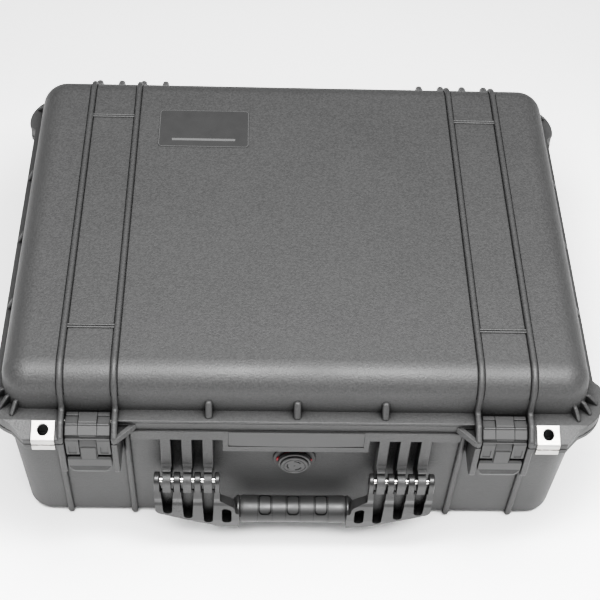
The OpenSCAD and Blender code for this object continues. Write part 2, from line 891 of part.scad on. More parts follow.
// The name panel's lower edge bows down in the middle
module name_panel() {
    bow = 1.2;
    bow_r = (panel_w * panel_w / 4 + bow * bow) / (2 * bow);
    half_a = asin(panel_w / 2 / bow_r);
    color("gray")
        translate([0, -band_front + panel_t, 0])
            rotate([90, 0, 0])
                linear_extrude(panel_t)
                    polygon(concat(
                        [[panel_w / 2, parting_z - side_gap / 2],
                         [-panel_w / 2, parting_z - side_gap / 2]],
                        arc([0, parting_z - panel_h + bow_r], bow_r, 270 - half_a, 270 + half_a)
                    ));
}

module lid_label() {
    color("black")
        translate([label_x, label_y, lid_top_z])
            linear_extrude(label_t) rounded_rect(label_w, label_d, 4);
}

// ------------------------------------------------------------------ foam

foam_w = body_w - 2 * wall_t - 2 * base_lean - 2 * foam_gap;
foam_d = body_d - 2 * wall_t - 2 * base_lean - 2 * foam_gap;
liner_z = floor_top_z + floor_pad_t;

module foam_block(z, t) {
    translate([0, 0, z]) linear_extrude(t) rounded_rect(foam_w, foam_d, foam_corner_r);
}

module floor_foam() {
    // The pad's edges clear the rounded lower edge of the base
    clear = base_edge_r + 4;
    color("darkgray")
        translate([0, 0, floor_top_z])
            linear_extrude(floor_pad_t)
                rounded_rect(foam_w - clear, foam_d - clear, foam_corner_r);
}

// A strip of the foam wall: the part of the full block between two corners in plan
module liner_strip(low, high) {
    color("darkgray")
        intersection() {
            foam_block(liner_z, parting_z - 1 - liner_z);
            box([low.x, low.y, 0], [high.x, high.y, parting_z]);
        }
}

module liner_back() {
    liner_strip([-foam_w / 2, foam_d / 2 - liner_t], [foam_w / 2, foam_d / 2]);
}
module liner_front() { mirror([0, 1, 0]) liner_back(); }
module liner_right() {
    free_d = foam_d / 2 - liner_t - side_gap / 2;
    liner_strip([foam_w / 2 - liner_t, -free_d], [foam_w / 2, free_d]);
}
module liner_left() { mirror([1, 0, 0]) liner_right(); }

module lid_foam() {
    color("darkgray")
        translate([0, 0, lid_top_z - wall_t - lid_pad_t])
            linear_extrude(lid_pad_t)
                rounded_rect(foam_w - lid_edge_r - 2, foam_d - lid_edge_r - 2, foam_corner_r);
}

base_shell();
lid_shell();
lid_seal();
lid_clip_left();
lid_clip_right();
base_clip_left();
base_clip_right();
latch_jaw_left();
latch_jaw_right();
latch_lever_left();
latch_lever_right();
jaw_pin_left();
jaw_pin_right();
lever_pin_left();
lever_pin_right();
hinge_pin_left();
hinge_pin_right();
handle_frame();
handle_grip();
handle_pin_left();
handle_pin_right();
vent_body();
vent_cap();
vent_seal();
vent_nut();
vent_membrane();
name_panel();
lid_label();
floor_foam();
liner_front();
liner_back();
liner_left();
liner_right();
lid_foam();
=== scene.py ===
"""A closed hard protective equipment case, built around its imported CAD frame.

Outlines and positions are in millimetres in the CAD frame: x to the right, y from the
handle side to the hinge side, z up. mesh() turns them into metres.
"""

import math

import bpy
from mathutils import Matrix, Vector


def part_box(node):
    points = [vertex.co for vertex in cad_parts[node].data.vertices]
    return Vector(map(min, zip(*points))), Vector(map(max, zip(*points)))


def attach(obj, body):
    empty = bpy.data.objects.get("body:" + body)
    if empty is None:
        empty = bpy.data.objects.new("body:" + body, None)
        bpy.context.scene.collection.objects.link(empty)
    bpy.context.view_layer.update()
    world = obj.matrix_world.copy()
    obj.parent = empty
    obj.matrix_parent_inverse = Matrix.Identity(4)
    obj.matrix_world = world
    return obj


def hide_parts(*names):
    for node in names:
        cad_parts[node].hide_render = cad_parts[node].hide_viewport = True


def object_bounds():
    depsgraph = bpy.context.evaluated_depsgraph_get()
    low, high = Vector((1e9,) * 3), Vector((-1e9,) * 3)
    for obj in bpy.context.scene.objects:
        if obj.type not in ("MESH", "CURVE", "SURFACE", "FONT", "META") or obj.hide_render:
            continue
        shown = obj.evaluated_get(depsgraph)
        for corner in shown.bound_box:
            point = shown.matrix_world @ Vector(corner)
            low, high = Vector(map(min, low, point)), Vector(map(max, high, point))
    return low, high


MM = 0.001

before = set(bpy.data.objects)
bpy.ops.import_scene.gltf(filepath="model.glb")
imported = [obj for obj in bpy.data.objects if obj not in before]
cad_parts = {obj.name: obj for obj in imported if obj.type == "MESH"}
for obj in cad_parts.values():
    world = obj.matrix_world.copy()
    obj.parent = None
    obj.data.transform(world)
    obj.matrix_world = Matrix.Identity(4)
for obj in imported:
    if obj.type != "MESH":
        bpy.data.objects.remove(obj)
cad_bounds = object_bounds()


def low(node):
    """Lowest corner of a CAD node in millimetres."""
    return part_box(node)[0] / MM


def high(node):
    """Highest corner of a CAD node in millimetres."""
    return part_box(node)[1] / MM


def middle(node):
    return (low(node) + high(node)) / 2


# ------------------------------------------------------------------ dimensions

# Overall box, and what the small CAD nodes say about positions
OVERALL_W = (cad_bounds[1].x - cad_bounds[0].x) / MM
RIB_TOP_Z = cad_bounds[1].z / MM
PARTING_Z = low("lid_seal").z
LATCH_X = middle("latch_jaw_right").x
JAW_W = high("latch_jaw_right").x - low("latch_jaw_right").x
JAW_FRONT = low("latch_jaw_right").y
PADLOCK_X, PADLOCK_Y = middle("lid_clip_right").x, -209.0
PADLOCK_HOLE_R = 4.75
CLIP_W = high("lid_clip_right").x - low("lid_clip_right").x
CLIP_FRONT = low("lid_clip_right").y
CLIP_STEEL_T = 1.2
HANDLE_PIN = middle("handle_pin_right")
HINGE_PIN = middle("hinge_pin_right")
JAW_PIN = middle("jaw_pin_right")
LEVER_PIN = middle("lever_pin_right")
VENT_Z = middle("vent_body").z

# Pins, and the clearance of the bores that turn on them
JAW_PIN_R, LEVER_PIN_R = 2.0, 1.8
HINGE_PIN_R, HANDLE_PIN_R = 3.0, 2.5
PIN_GAP = 0.06

# Shell walls
BODY_W, BODY_D = 499.0, 381.0
WALL = 6.0
CORNER_R = 24.0
LID_EDGE_R, BASE_EDGE_R = 22.0, 5.0
LID_LEAN, BASE_LEAN = 2.6, 6.0
SKID_H = 4.5
FLOOR_TOP_Z = SKID_H + WALL - 1
RIB_H = 3.0
LID_TOP_Z = RIB_TOP_Z - RIB_H

# Flange, with its corner lobes, and the band that carries the handle
FLANGE_W, FLANGE_D = 512.0, 402.0
LID_FLANGE_Z = PARTING_Z + 12.5
BASE_FLANGE_Z = PARTING_Z - 6.0
LOBE_R = 36.5
LOBE_X = OVERALL_W / 2 - LOBE_R
FRONT_LOBE_Y, REAR_LOBE_Y = -169.0, 163.0
LOBE_STEP = 5.4
GUARD_FRONT = 216.5
SHELF_FRONT_Z = PARTING_Z + 6
SHELF_BACK = 185.0
SHELF_END_X = 226.5
GUSSET_X = 134.5
BAND_FRONT = 203.0
BAND_Z = PARTING_Z - 11.5
# Outside the seal, lid and base each stay this far off the parting plane
LINE_GAP = 0.55
# Distance from the walls' outer face to the seal
SEAL_INSET = 2.6

# Ribs and latch guards
GUARD_T = 5.2
GUARD_GAP = 39.2
GUARD_XS = (LATCH_X - (GUARD_GAP + GUARD_T) / 2, LATCH_X + (GUARD_GAP + GUARD_T) / 2)
GUARD_LOW_Z = 113.0
BASE_RIB_T, BASE_RIB_H = 5.6, 3.5
BASE_RIB_XS = (LATCH_X - 29.3, LATCH_X + 29.3)
FRONT_WEB_XS = (-74.0, 0.0, 74.0)
SIDE_WEB_YS = (-80.0, 0.0, 80.0)
CORNER_WEB_ANGLES = (22.0, 45.0, 68.0)
CROSS_RIDGE_YS = (-131.9, 128.4)
CROSS_RIDGE_W, CROSS_RIDGE_H = 4.0, 1.4
GUARD_TOP_Z = LID_FLANGE_Z + 4

# Latches
TONGUE_W = 14.4
TAB_TOP_Z = PARTING_Z - 21.2

# Handle and its lugs
LUG_X, LUG_PITCH = 75.2, 17.9
LUG_W, LUG_COLUMN_W = 7.4, 8.8
LUG_BACK = 186.0
LUG_XS = tuple(LUG_X + i * LUG_PITCH for i in range(3))
LUG_LOW_Z = HANDLE_PIN.z - 11.5
HANDLE_HALF_W = high("handle_frame").x
STRAP_FRONT = -low("handle_frame").y
STRAP_T = 10.0
# Sheets that close the slots and the window at the strap's back: dark stand-ins for the shade seen
# through them
SHADE_WEB_T = 1.5
STRAP_LOW_Z = low("handle_frame").z
STRAP_MID_X = 64.0
STRAP_SIDE_Z = 58.0
STRAP_TOP_Z = HANDLE_PIN.z - 12
FINGER_W, FINGER_R = 5.2, 6.7
HANDLE_INNER_X = LUG_X - LUG_W / 2 - 0.4 - FINGER_W - 1
GRIP_HALF_W = high("handle_grip").x
GRIP_R = (high("handle_grip").z - low("handle_grip").z) / 2
GRIP_CORE_R = 8.0
GRIP_PAD_XS = (-25.0, 0.0, 25.0)
GRIP_Y, GRIP_Z = middle("handle_grip").y, middle("handle_grip").z

# Vent
VENT_THREAD_R = 9.0
VENT_SEAT_R = 18.5

# Corner radius of the foam blocks
FOAM_R = 18.0

# Hinges
KNUCKLE_R = 8.0
KNUCKLE_PITCH = 22.2
LID_KNUCKLE_W = 9.6
BASE_KNUCKLE_W = KNUCKLE_PITCH - LID_KNUCKLE_W - 0.8
EAR_T, EAR_R = 6.2, 12.0
EAR_TOP_Z = LID_FLANGE_Z + 22

# A cut or a joined solid reaches this far past the surface it meets
PAST = 1.0


# ------------------------------------------------------------- outlines and meshes

def arc(cx, cy, radius, start, end, steps=12):
    """Points on an arc, with its angles in degrees."""
    turns = [math.radians(start + (end - start) * i / steps) for i in range(steps + 1)]
    return [(cx + radius * math.cos(t), cy + radius * math.sin(t)) for t in turns]


def circle(cx, cy, radius, steps=32):
    return arc(cx, cy, radius, 0, 360 * (1 - 1 / steps), steps - 1)


def rect(x0, y0, x1, y1):
    return [(x0, y0), (x1, y0), (x1, y1), (x0, y1)]


def mirrored(points):
    """The outline's mirror image across its first axis, in the order that keeps it closed."""
    return [(-x, y) for x, y in reversed(points)]


def rounded(points, radius, steps=4):
    """The closed outline with its corners rounded; a point (x, y, r) sets its own radius."""
    result = []
    for i, point in enumerate(points):
        here = Vector(point[:2])
        back = Vector(points[i - 1][:2]) - here
        ahead = Vector(points[(i + 1) % len(points)][:2]) - here
        r = point[2] if len(point) > 2 else radius
        half = back.angle(ahead) / 2
        if r == 0 or half > math.radians(88):
            result.append(tuple(here))
            continue
        reach = min(r / math.tan(half), 0.48 * back.length, 0.48 * ahead.length)
        r = reach * math.tan(half)
        to_centre = (back.normalized() + ahead.normalized()).normalized()
        centre = here + to_centre * (r / math.sin(half))
        start = here + back.normalized() * reach - centre
        sweep = start.angle_signed(here + ahead.normalized() * reach - centre)
        for k in range(steps + 1):
            spoke = start.copy()
            spoke.rotate(Matrix.Rotation(-sweep * k / steps, 2))
            result.append(tuple(centre + spoke))
    return result


def offset(points, distance):
    """A counterclockwise outline moved outwards by distance, with mitred corners."""
    result = []
    count = len(points)
    for i in range(count):
        here = Vector(points[i])
        before = (here - Vector(points[i - 1])).normalized()
        after = (Vector(points[(i + 1) % count]) - here).normalized()
        n1, n2 = Vector((before.y, -before.x)), Vector((after.y, -after.x))
        result.append(tuple(here + (n1 + n2) * (distance / max(0.3, 1 + n1.dot(n2)))))
    return result


def area(points):
    ends = points[1:] + points[:1]
    return sum(a[0] * b[1] - a[1] * b[0] for a, b in zip(points, ends)) / 2


def loft(rings, closed=False):
    """A closed mesh through rings of equally many points, capped at both ends unless closed."""
    count = len(rings[0])
    verts = [Vector(p) for ring in rings for p in ring]
    faces = []
    spans = len(rings) if closed else len(rings) - 1
    for r in range(spans):
        a, b = r * count, (r + 1) % len(rings) * count
        for i in range(count):
            j = (i + 1) % count
            faces.append((a + i, a + j, b + j, b + i))
    if not closed:
        faces.append(tuple(reversed(range(count))))
        faces.append(tuple(range(len(verts) - count, len(verts))))
    return mesh(verts, faces)


def mesh(verts, faces):
    """A Blender mesh in metres from millimetre coordinates, its faces turned outwards."""
    data = bpy.data.meshes.new("solid")
    data.from_pydata([Vector(v) * MM for v in verts], [], faces)
    data.validate()
    if volume(data) < 0:
        data.flip_normals()
    return data


def volume(data):
    data.calc_loop_triangles()
    points = [v.co for v in data.vertices]
    corners = (t.vertices for t in data.loop_triangles)
    return sum(points[a].dot(points[b].cross(points[c])) for a, b, c in corners) / 6


# How an outline's two axes and the level across it map to x, y and z
PLANES = {
    "XY": lambda u, v, w: (u, v, w),
    "YZ": lambda u, v, w: (w, u, v),
    "XZ": lambda u, v, w: (u, w, v),
}


def prism(plane, points, start, end, edge=0.0, steps=3):
    """A solid from an outline between two levels, with the rims at its ends rounded."""
    if area(points) < 0:
        points = list(reversed(points))
    turns = [math.radians(90 * k / steps) for k in range(steps + 1)]
    rim = [(edge * (1 - math.sin(t)), edge * (1 - math.cos(t))) for t in turns]
    if edge == 0:
        rim = [(0.0, 0.0)]
    place = PLANES[plane]
    rings = []
    for inset, rise in rim:
        rings.append([place(u, v, start + rise) for u, v in offset(points, -inset)])
    for inset, rise in reversed(rim):
        rings.append([place(u, v, end - rise) for u, v in offset(points, -inset)])
    return loft(rings)


def plate_x(x, thickness, points, edge=0.6, steps=3):
    """A plate across X, centred on x, from an outline in Y and Z."""
    return prism("YZ", points, x - thickness / 2, x + thickness / 2, edge, steps)


def box(corner, opposite, edge=0.0):
    (x0, y0, z0), (x1, y1, z1) = corner, opposite
    return prism("XY", rect(x0, y0, x1, y1), z0, z1, edge)


def rounded_rect(w, d, radius, steps=8):
    """A rounded rectangle about the origin, counterclockwise."""
    cx, cy = w / 2 - radius, d / 2 - radius
    return (arc(cx, cy, radius, 0, 90, steps) + arc(-cx, cy, radius, 90, 180, steps)
            + arc(-cx, -cy, radius, 180, 270, steps) + arc(cx, -cy, radius, 270, 360, steps))


def turned(axis, centre, profile, steps=48, closed=False):
    """A solid of revolution about X or Y from (position along the axis, radius) pairs."""
    rings = []
    for along, radius in profile:
        ring = []
        for i in range(steps):
            t = math.tau * i / steps
            c, s = radius * math.cos(t), radius * math.sin(t)
            ring.append((along, centre[0] + c, centre[1] + s) if axis == "X"
                        else (centre[0] + c, along, centre[1] + s))
        rings.append(ring)
    return loft(rings, closed)


def bore(pin, radius, start, end, steps=32):
    """A round tool along X on a pin's axis."""
    return turned("X", (pin.y, pin.z), [(start, radius), (end, radius)], steps)


def flipped(data):
    """The mirror image of a mesh on the other side of the case."""
    copy = data.copy()
    copy.transform(Matrix.Diagonal((-1, 1, 1, 1)))
    copy.flip_normals()
    return copy


def both(solids):
    """The solids and their mirror images on the other side."""
    return list(solids) + [flipped(s) for s in solids]


def combined(base, add=(), cut=(), keep=()):
    """One closed mesh: base joined with some solids, less others, within others."""
    body = bpy.data.objects.new("body", base)
    bpy.context.scene.collection.objects.link(body)
    tools = []
    for operation, solids in (("UNION", add), ("DIFFERENCE", cut), ("INTERSECT", keep)):
        for solid in solids:
            tool = bpy.data.objects.new("tool", solid)
            bpy.context.scene.collection.objects.link(tool)
            tools.append(tool)
            step = body.modifiers.new(operation, "BOOLEAN")
            step.operation = operation
            step.object = tool
            step.solver = "MANIFOLD"
    depsgraph = bpy.context.evaluated_depsgraph_get()
    result = bpy.data.meshes.new_from_object(body.evaluated_get(depsgraph))
    for item in (body, *tools):
        bpy.data.objects.remove(item)
    return result


# Faces that meet at more than this angle keep a crisp edge between them
SHARP_ANGLE = math.radians(31)


def piece(name, data, body, material, replaces):
    """Puts a finished mesh into the scene as a visible piece that rides on a body."""
    data.name = name
    data.materials.clear()
    data.materials.append(material)
    item = bpy.data.objects.new(name, data)
    bpy.context.scene.collection.objects.link(item)
    data.shade_smooth()
    data.set_sharp_from_angle(angle=SHARP_ANGLE)
    normals = item.modifiers.new("normals", "WEIGHTED_NORMAL")
    normals.keep_sharp = True
    normals.weight = 80
    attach(item, body)
    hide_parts(*replaces)
    return item


# ------------------------------------------------------------------- materials

def node(tree, kind, settings=None, **inputs):
    """Adds a node; an input takes a value, or another node's output socket."""
    made = tree.nodes.new("ShaderNode" + kind)
    for name, value in (settings or {}).items():
        setattr(made, name, value)
    for name, value in inputs.items():
        key = int(name[1:]) if name[0] == "i" and name[1:].isdigit() else name.replace("_", " ")
        if isinstance(value, bpy.types.NodeSocket):
            tree.links.new(value, made.inputs[key])
        else:
            made.inputs[key].default_value = value
    return made


def noise(tree, where, size_mm, detail=3.0, stretch=(1, 1, 1)):
    """Noise with features about size_mm across, between 0 and 1."""
    scaled = node(tree, "Mapping", Vector=where, Scale=stretch).outputs[0]
    return node(tree, "TexNoise", Vector=scaled, Scale=1 / (size_mm * MM), Detail=detail).outputs[0]


def ramp(tree, value, low_in, high_in, low_out, high_out):
    return node(tree, "MapRange", Value=value, From_Min=low_in, From_Max=high_in,
                To_Min=low_out, To_Max=high_out).outputs[0]


def mix_color(tree, factor, a, b):
    made = node(tree, "Mix", {"data_type": "RGBA"})
    for socket, value in (("Factor_Float", factor), ("A_Color", a), ("B_Color", b)):
        target = next(s for s in made.inputs if s.identifier == socket)
        if isinstance(value, bpy.types.NodeSocket):
            tree.links.new(value, target)
        else:
            target.default_value = value
    return next(s for s in made.outputs if s.identifier == "Result_Color")


def grey(value, tint=(1.0, 1.0, 1.0)):
    return (value * tint[0], value * tint[1], value * tint[2], 1.0)


def darkened(color, factor):
    return tuple(c * factor for c in color[:3]) + (1.0,)


def math_node(tree, operation, a, b):
    return node(tree, "Math", {"operation": operation}, i0=a, i1=b).outputs[0]


def vector_node(tree, operation, a, b):
    return node(tree, "VectorMath", {"operation": operation}, i0=a, i1=b)


def relief(tree, shader, height, depth_mm, strength=1.0):
    """Fine relief on the surface, depth_mm deep where height runs from 0 to 1."""
    bumped = node(tree, "Bump", Height=height, Distance=depth_mm * MM, Strength=strength)
    tree.links.new(bumped.outputs[0], shader.inputs["Normal"])
    return bumped


def new_material(name):
    """A material with its Principled shader: (material, tree, shader, object coordinates)."""
    material = bpy.data.materials.new(name)
    material.use_nodes = True
    tree = material.node_tree
    shader = next(n for n in tree.nodes if n.type == "BSDF_PRINCIPLED")
    where = node(tree, "TexCoord").outputs["Object"]
    return material, tree, shader, where


def edge_wear(tree, radius_mm):
    """0 on flat faces, rising to 1 on edges of about that radius."""
    soft = node(tree, "Bevel", {"samples": 4}, Radius=radius_mm * MM).outputs[0]
    true = node(tree, "NewGeometry").outputs["Normal"]
    dot = vector_node(tree, "DOT_PRODUCT", soft, true)
    return ramp(tree, dot.outputs["Value"], 0.99, 0.80, 0.0, 1.0)


def paint_crevice_shade(tree, shader, color, shade_color, reach_mm, darkest):
    """Painted shade: colour and gloss that fade to black where other faces close in within
    reach_mm.
    """
    ambient = node(tree, "AmbientOcclusion", {"samples": 6}, Distance=reach_mm * MM)
    # painted shade: ambient occlusion darkens the colour and dulls the gloss in crevices, recesses
    # and under parts
    unshaded = ramp(tree, ambient.outputs["AO"], 0.34, 0.84, darkest, 1.0)
    tree.links.new(mix_color(tree, unshaded, shade_color, color), shader.inputs["Base Color"])
    gloss = math_node(tree, "MULTIPLY", unshaded, 0.5)
    tree.links.new(gloss, shader.inputs["Specular IOR Level"])


def moulded_plastic(name, base, roughness, grain_mm, grain_depth_mm, mottle, wear):
    """Injection-moulded plastic: pebbled grain, faint mottling, polished edges, and painted shade
    in crevices.
    """
    material, tree, shader, where = new_material(name)
    cells = node(tree, "TexVoronoi", {"feature": "SMOOTH_F1"}, Vector=where,
                 Scale=1 / (grain_mm * MM), Smoothness=0.6).outputs["Distance"]
    fine = noise(tree, where, grain_mm * 0.45, 2.0)
    broad = noise(tree, where, grain_mm * 2.0, 4.0)
    cloud = noise(tree, where, 70, 3.0)
    grain = node(tree, "Bump", Height=math_node(tree, "ADD", cells, fine),
                 Distance=grain_depth_mm * MM, Strength=1.0)
    swells = relief(tree, shader, broad, grain_depth_mm * 3.5)
    tree.links.new(grain.outputs[0], swells.inputs["Normal"])
    tone = ramp(tree, broad, 0.35, 0.65, 0.0, 1.0)
    color = mix_color(tree, tone, grey(base * (1 - mottle)), grey(base * (1 + mottle)))
    rubbed = edge_wear(tree, 0.9)
    amount = math_node(tree, "MULTIPLY", rubbed, ramp(tree, cloud, 0.35, 0.65, 0.3 * wear, wear))
    color = mix_color(tree, amount, color, grey(base * 1.9))
    # painted shade: colour and gloss fall towards near black in crevices and recesses, within 20 mm
    paint_crevice_shade(tree, shader, color, grey(base * 0.1), 20, 0.03)
    rough = math_node(tree, "ADD",
                      ramp(tree, cloud, 0.3, 0.7, roughness - 0.04, roughness + 0.04),
                      ramp(tree, tone, 0, 1, -0.03, 0.03))
    tree.links.new(rough, shader.inputs["Roughness"])
    shader.inputs["IOR"].default_value = 1.49
    return material


def soft_rubber(name, color, roughness, grain_mm=0.7, depth_mm=0.02):
    """Matt rubber or film: fine grain, cloudy shine and painted shade in crevices."""
    material, tree, shader, where = new_material(name)
    relief(tree, shader, noise(tree, where, grain_mm, 3.0), depth_mm)
    cloud = noise(tree, where, 12, 3.0)
    clouded = mix_color(tree, cloud, darkened(color, 0.8), color)
    # painted shade: colour and gloss fall towards near black in crevices, within 5 mm
    paint_crevice_shade(tree, shader, clouded, darkened(color, 0.1), 5, 0.05)
    rough = ramp(tree, cloud, 0.3, 0.7, roughness - 0.05, roughness + 0.08)
    tree.links.new(rough, shader.inputs["Roughness"])
    return material


def rolled_steel(name, base, roughness, stretch, line_mm):
    """Steel with fine drawn or brushed lines along one axis."""
    material, tree, shader, where = new_material(name)
    lines = noise(tree, where, line_mm, 4.0, stretch)
    stains = noise(tree, where, 9, 3.0)
    relief(tree, shader, lines, 0.004)
    color = mix_color(tree, stains, grey(base * 0.88), grey(base, (1.0, 0.96, 0.91)))
    tree.links.new(color, shader.inputs["Base Color"])
    rough = ramp(tree, lines, 0.3, 0.7, roughness - 0.06, roughness + 0.08)
    tree.links.new(rough, shader.inputs["Roughness"])
    shader.inputs["Metallic"].default_value = 1.0
    return material


def open_cell_foam(name, base):
    """Charcoal polyurethane foam: small open cells with painted shade in their pores, dull, with a
    faint sheen.
    """
    material, tree, shader, where = new_material(name)
    cells = node(tree, "TexVoronoi", {"feature": "F1"}, Vector=where,
                 Scale=1 / (1.3 * MM)).outputs["Distance"]
    pores = noise(tree, where, 0.6, 3.0)
    relief(tree, shader, math_node(tree, "ADD", cells, pores), 0.35, 0.9)
    # painted shade: the colour darkens towards each cell's centre, where shade falls inside the
    # pores
    shade = ramp(tree, cells, 0.05, 0.6, 0.0, 1.0)
    tree.links.new(mix_color(tree, shade, grey(base * 0.45), grey(base)),
                   shader.inputs["Base Color"])
    shader.inputs["Roughness"].default_value = 0.95
    shader.inputs["Sheen Weight"].default_value = 0.15
    shader.inputs["Specular IOR Level"].default_value = 0.2
    return material


def between(tree, value, start, end):
    """1 where value lies between start and end, else 0."""
    above = math_node(tree, "GREATER_THAN", value, start)
    below = math_node(tree, "LESS_THAN", value, end)
    return math_node(tree, "MULTIPLY", above, below)


def printed_label(name, centre, size, corner):
    """Black satin film with a thin pale outline and one plain grey bar, no lettering."""
    material, tree, shader, where = new_material(name)
    moved = vector_node(tree, "SUBTRACT", where, (centre[0] * MM, centre[1] * MM, 0)).outputs[0]
    flat = node(tree, "VectorMath", {"operation": "ABSOLUTE"}, i0=moved).outputs[0]
    straight = ((size[0] / 2 - corner) * MM, (size[1] / 2 - corner) * MM, 1.0)
    past = vector_node(tree, "SUBTRACT", flat, straight).outputs[0]
    past = vector_node(tree, "MAXIMUM", past, (0, 0, 0)).outputs[0]
    reach = node(tree, "VectorMath", {"operation": "LENGTH"}, i0=past).outputs["Value"]
    line = between(tree, reach, (corner - 0.9) * MM, (corner - 0.5) * MM)
    split = node(tree, "SeparateXYZ", Vector=moved)
    bar = math_node(tree, "MULTIPLY", between(tree, split.outputs[0], -30 * MM, 30 * MM),
                    between(tree, split.outputs[1], -17 * MM, -14 * MM))
    ink = math_node(tree, "MAXIMUM", line, bar)
    speckle = noise(tree, where, 0.8, 2.0)
    film = mix_color(tree, speckle, grey(0.016), grey(0.024))
    tree.links.new(mix_color(tree, ink, film, grey(0.09)), shader.inputs["Base Color"])
    relief(tree, shader, speckle, 0.006)
    smears = noise(tree, where, 16, 3.0)
    tree.links.new(ramp(tree, smears, 0.3, 0.7, 0.42, 0.52), shader.inputs["Roughness"])
    return material


def studio_floor(name):
    material, tree, shader, where = new_material(name)
    cloud = noise(tree, where, 400, 2.0)
    tree.links.new(mix_color(tree, cloud, grey(0.86), grey(0.9)), shader.inputs["Base Color"])
    shader.inputs["Roughness"].default_value = 0.7
    return material


# Plastics: base tone, roughness, grain size and depth, mottling, edge wear
SHELL = moulded_plastic("pebbled_shell_plastic", 0.031, 0.50, 0.85, 0.08, 0.22, 0.8)
LATCH = moulded_plastic("satin_latch_plastic", 0.026, 0.46, 0.7, 0.010, 0.08, 0.35)
HANDLE = moulded_plastic("glossy_handle_plastic", 0.012, 0.33, 0.6, 0.006, 0.08, 0.35)
VENT = moulded_plastic("satin_vent_plastic", 0.028, 0.45, 0.6, 0.008, 0.08, 0.5)
# Rubbers and film: colour, roughness; steels: tone, roughness, stretch and width of the lines
GRIP = soft_rubber("grip_rubber", grey(0.012), 0.40)
SEAL = soft_rubber("seal_rubber", grey(0.012), 0.6)
RED = soft_rubber("red_seal_rubber", (0.42, 0.012, 0.02, 1.0), 0.45)
CLIP_STEEL = rolled_steel("rolled_stainless_steel", 0.42, 0.5, (0.05, 1, 1), 0.25)
PIN_STEEL = rolled_steel("drawn_pin_steel", 0.8, 0.22, (0.04, 1, 1), 0.3)
MEMBRANE = soft_rubber("vent_membrane_film", grey(0.8), 0.8, 0.2, 0.01)
FOAM = open_cell_foam("open_cell_foam", 0.045)


# ----------------------------------------------------------------- shell mouldings

def tub(w, d, radius, lean, edge_r, start, end, steps=9):
    """A rounded box from start towards end, leaning in to a rounded far edge."""
    way = 1 if end > start else -1
    far = end - way * edge_r
    levels = [(start, 0.0, 0.0), (far, lean, 0.0)]
    for k in range(1, steps + 1):
        t = math.radians(90 * k / steps)
        levels.append((far + way * edge_r * math.sin(t), lean, edge_r * (1 - math.cos(t))))
    levels.append((end, lean, edge_r + 1.5))
    rings = []
    for z, moved, inset in levels:
        shrink = 2 * (moved + inset)
        corner = max(radius - inset, 2.0)
        ring = rounded_rect(w - shrink, d - shrink, corner, 10)
        rings.append([(x, y, z) for x, y in ring])
    return loft(rings)


def base_half(half, z):
    """Half width of the base at height z, from its half width at the parting line."""
    return half - BASE_LEAN * (PARTING_Z - z) / (PARTING_Z - SKID_H - BASE_EDGE_R)


def lid_half(half, z):
    return half - LID_LEAN * (z - PARTING_Z) / (LID_TOP_Z - LID_EDGE_R - PARTING_Z)


def flange_outline():
    """Plan outline of the flange with its four corner lobes."""
    reach = -FLANGE_D / 2 - FRONT_LOBE_Y
    start = math.degrees(math.asin(reach / LOBE_R))
    front_end, rear_start = 16, -13
    front_y = FRONT_LOBE_Y + LOBE_R * math.sin(math.radians(front_end))
    rear_y = REAR_LOBE_Y + LOBE_R * math.sin(math.radians(rear_start))
    half = [(0.0, -FLANGE_D / 2)]
    half += arc(LOBE_X, FRONT_LOBE_Y, LOBE_R, start, front_end, 20)
    half += [(FLANGE_W / 2, front_y + LOBE_STEP), (FLANGE_W / 2, rear_y - LOBE_STEP)]
    half += arc(LOBE_X, REAR_LOBE_Y, LOBE_R, rear_start, 80, 20)
    half += [(LOBE_X - 15, FLANGE_D / 2), (0.0, FLANGE_D / 2)]
    return half + mirrored(half[1:-1])


def shelf_plan(inner_x):
    """Plan of the shelf in front of the flange, from inner_x to the corner lobe."""
    lobe_x = LOBE_X + math.sqrt(LOBE_R ** 2 - (FLANGE_D / 2 + FRONT_LOBE_Y) ** 2)
    return rounded([
        (inner_x, -SHELF_BACK, 0), (inner_x, -GUARD_FRONT, 0), (SHELF_END_X, -GUARD_FRONT),
        (SHELF_END_X + 12, -FLANGE_D / 2 - 2.5, 0), (lobe_x, -FLANGE_D / 2, 0),
        (lobe_x, -SHELF_BACK, 0)], 3)


def lid_shelf():
    """The sloping shelf outside the latch that carries the padlock clip."""
    profile = rounded([
        (-SHELF_BACK, PARTING_Z + LINE_GAP, 0), (-GUARD_FRONT, PARTING_Z + LINE_GAP, 0.4),
        (-GUARD_FRONT, SHELF_FRONT_Z, 1.6), (-FLANGE_D / 2, LID_FLANGE_Z, 0),
        (-SHELF_BACK, LID_FLANGE_Z, 0)], 0)
    sloped = prism("YZ", profile, GUARD_XS[1] - 1, OVERALL_W / 2)
    plan = prism("XY", shelf_plan(GUARD_XS[1]), PARTING_Z - PAST, LID_FLANGE_Z + PAST)
    return combined(sloped, keep=[plan])


def base_shelf():
    return prism("XY", shelf_plan(GUARD_XS[1]), BASE_FLANGE_Z, PARTING_Z - LINE_GAP, 0.8)


def lid_gusset():
    """The three-sided brace inside the latch: a shallow pocket with a raised rim."""
    inner = GUARD_XS[0] - GUARD_T / 2
    front, root = -GUARD_FRONT + 0.5, -BODY_D / 2 + 0.5
    plan = rounded([(GUSSET_X, -FLANGE_D / 2), (inner, front), (inner + 2, front),
                    (inner + 2, root), (GUSSET_X, root)], 0.8)
    top_z = LID_FLANGE_Z - 5
    solid = prism("XY", plan, PARTING_Z + LINE_GAP, top_z, 0.8)
    pocket = [(GUSSET_X + 5.5, -FLANGE_D / 2 - 0.3), (inner + 0.2, -GUARD_FRONT + 5.2),
              (inner + 0.2, -FLANGE_D / 2 - 0.3)]
    return combined(solid, cut=[prism("XY", pocket, top_z - 2.5, top_z + PAST)])


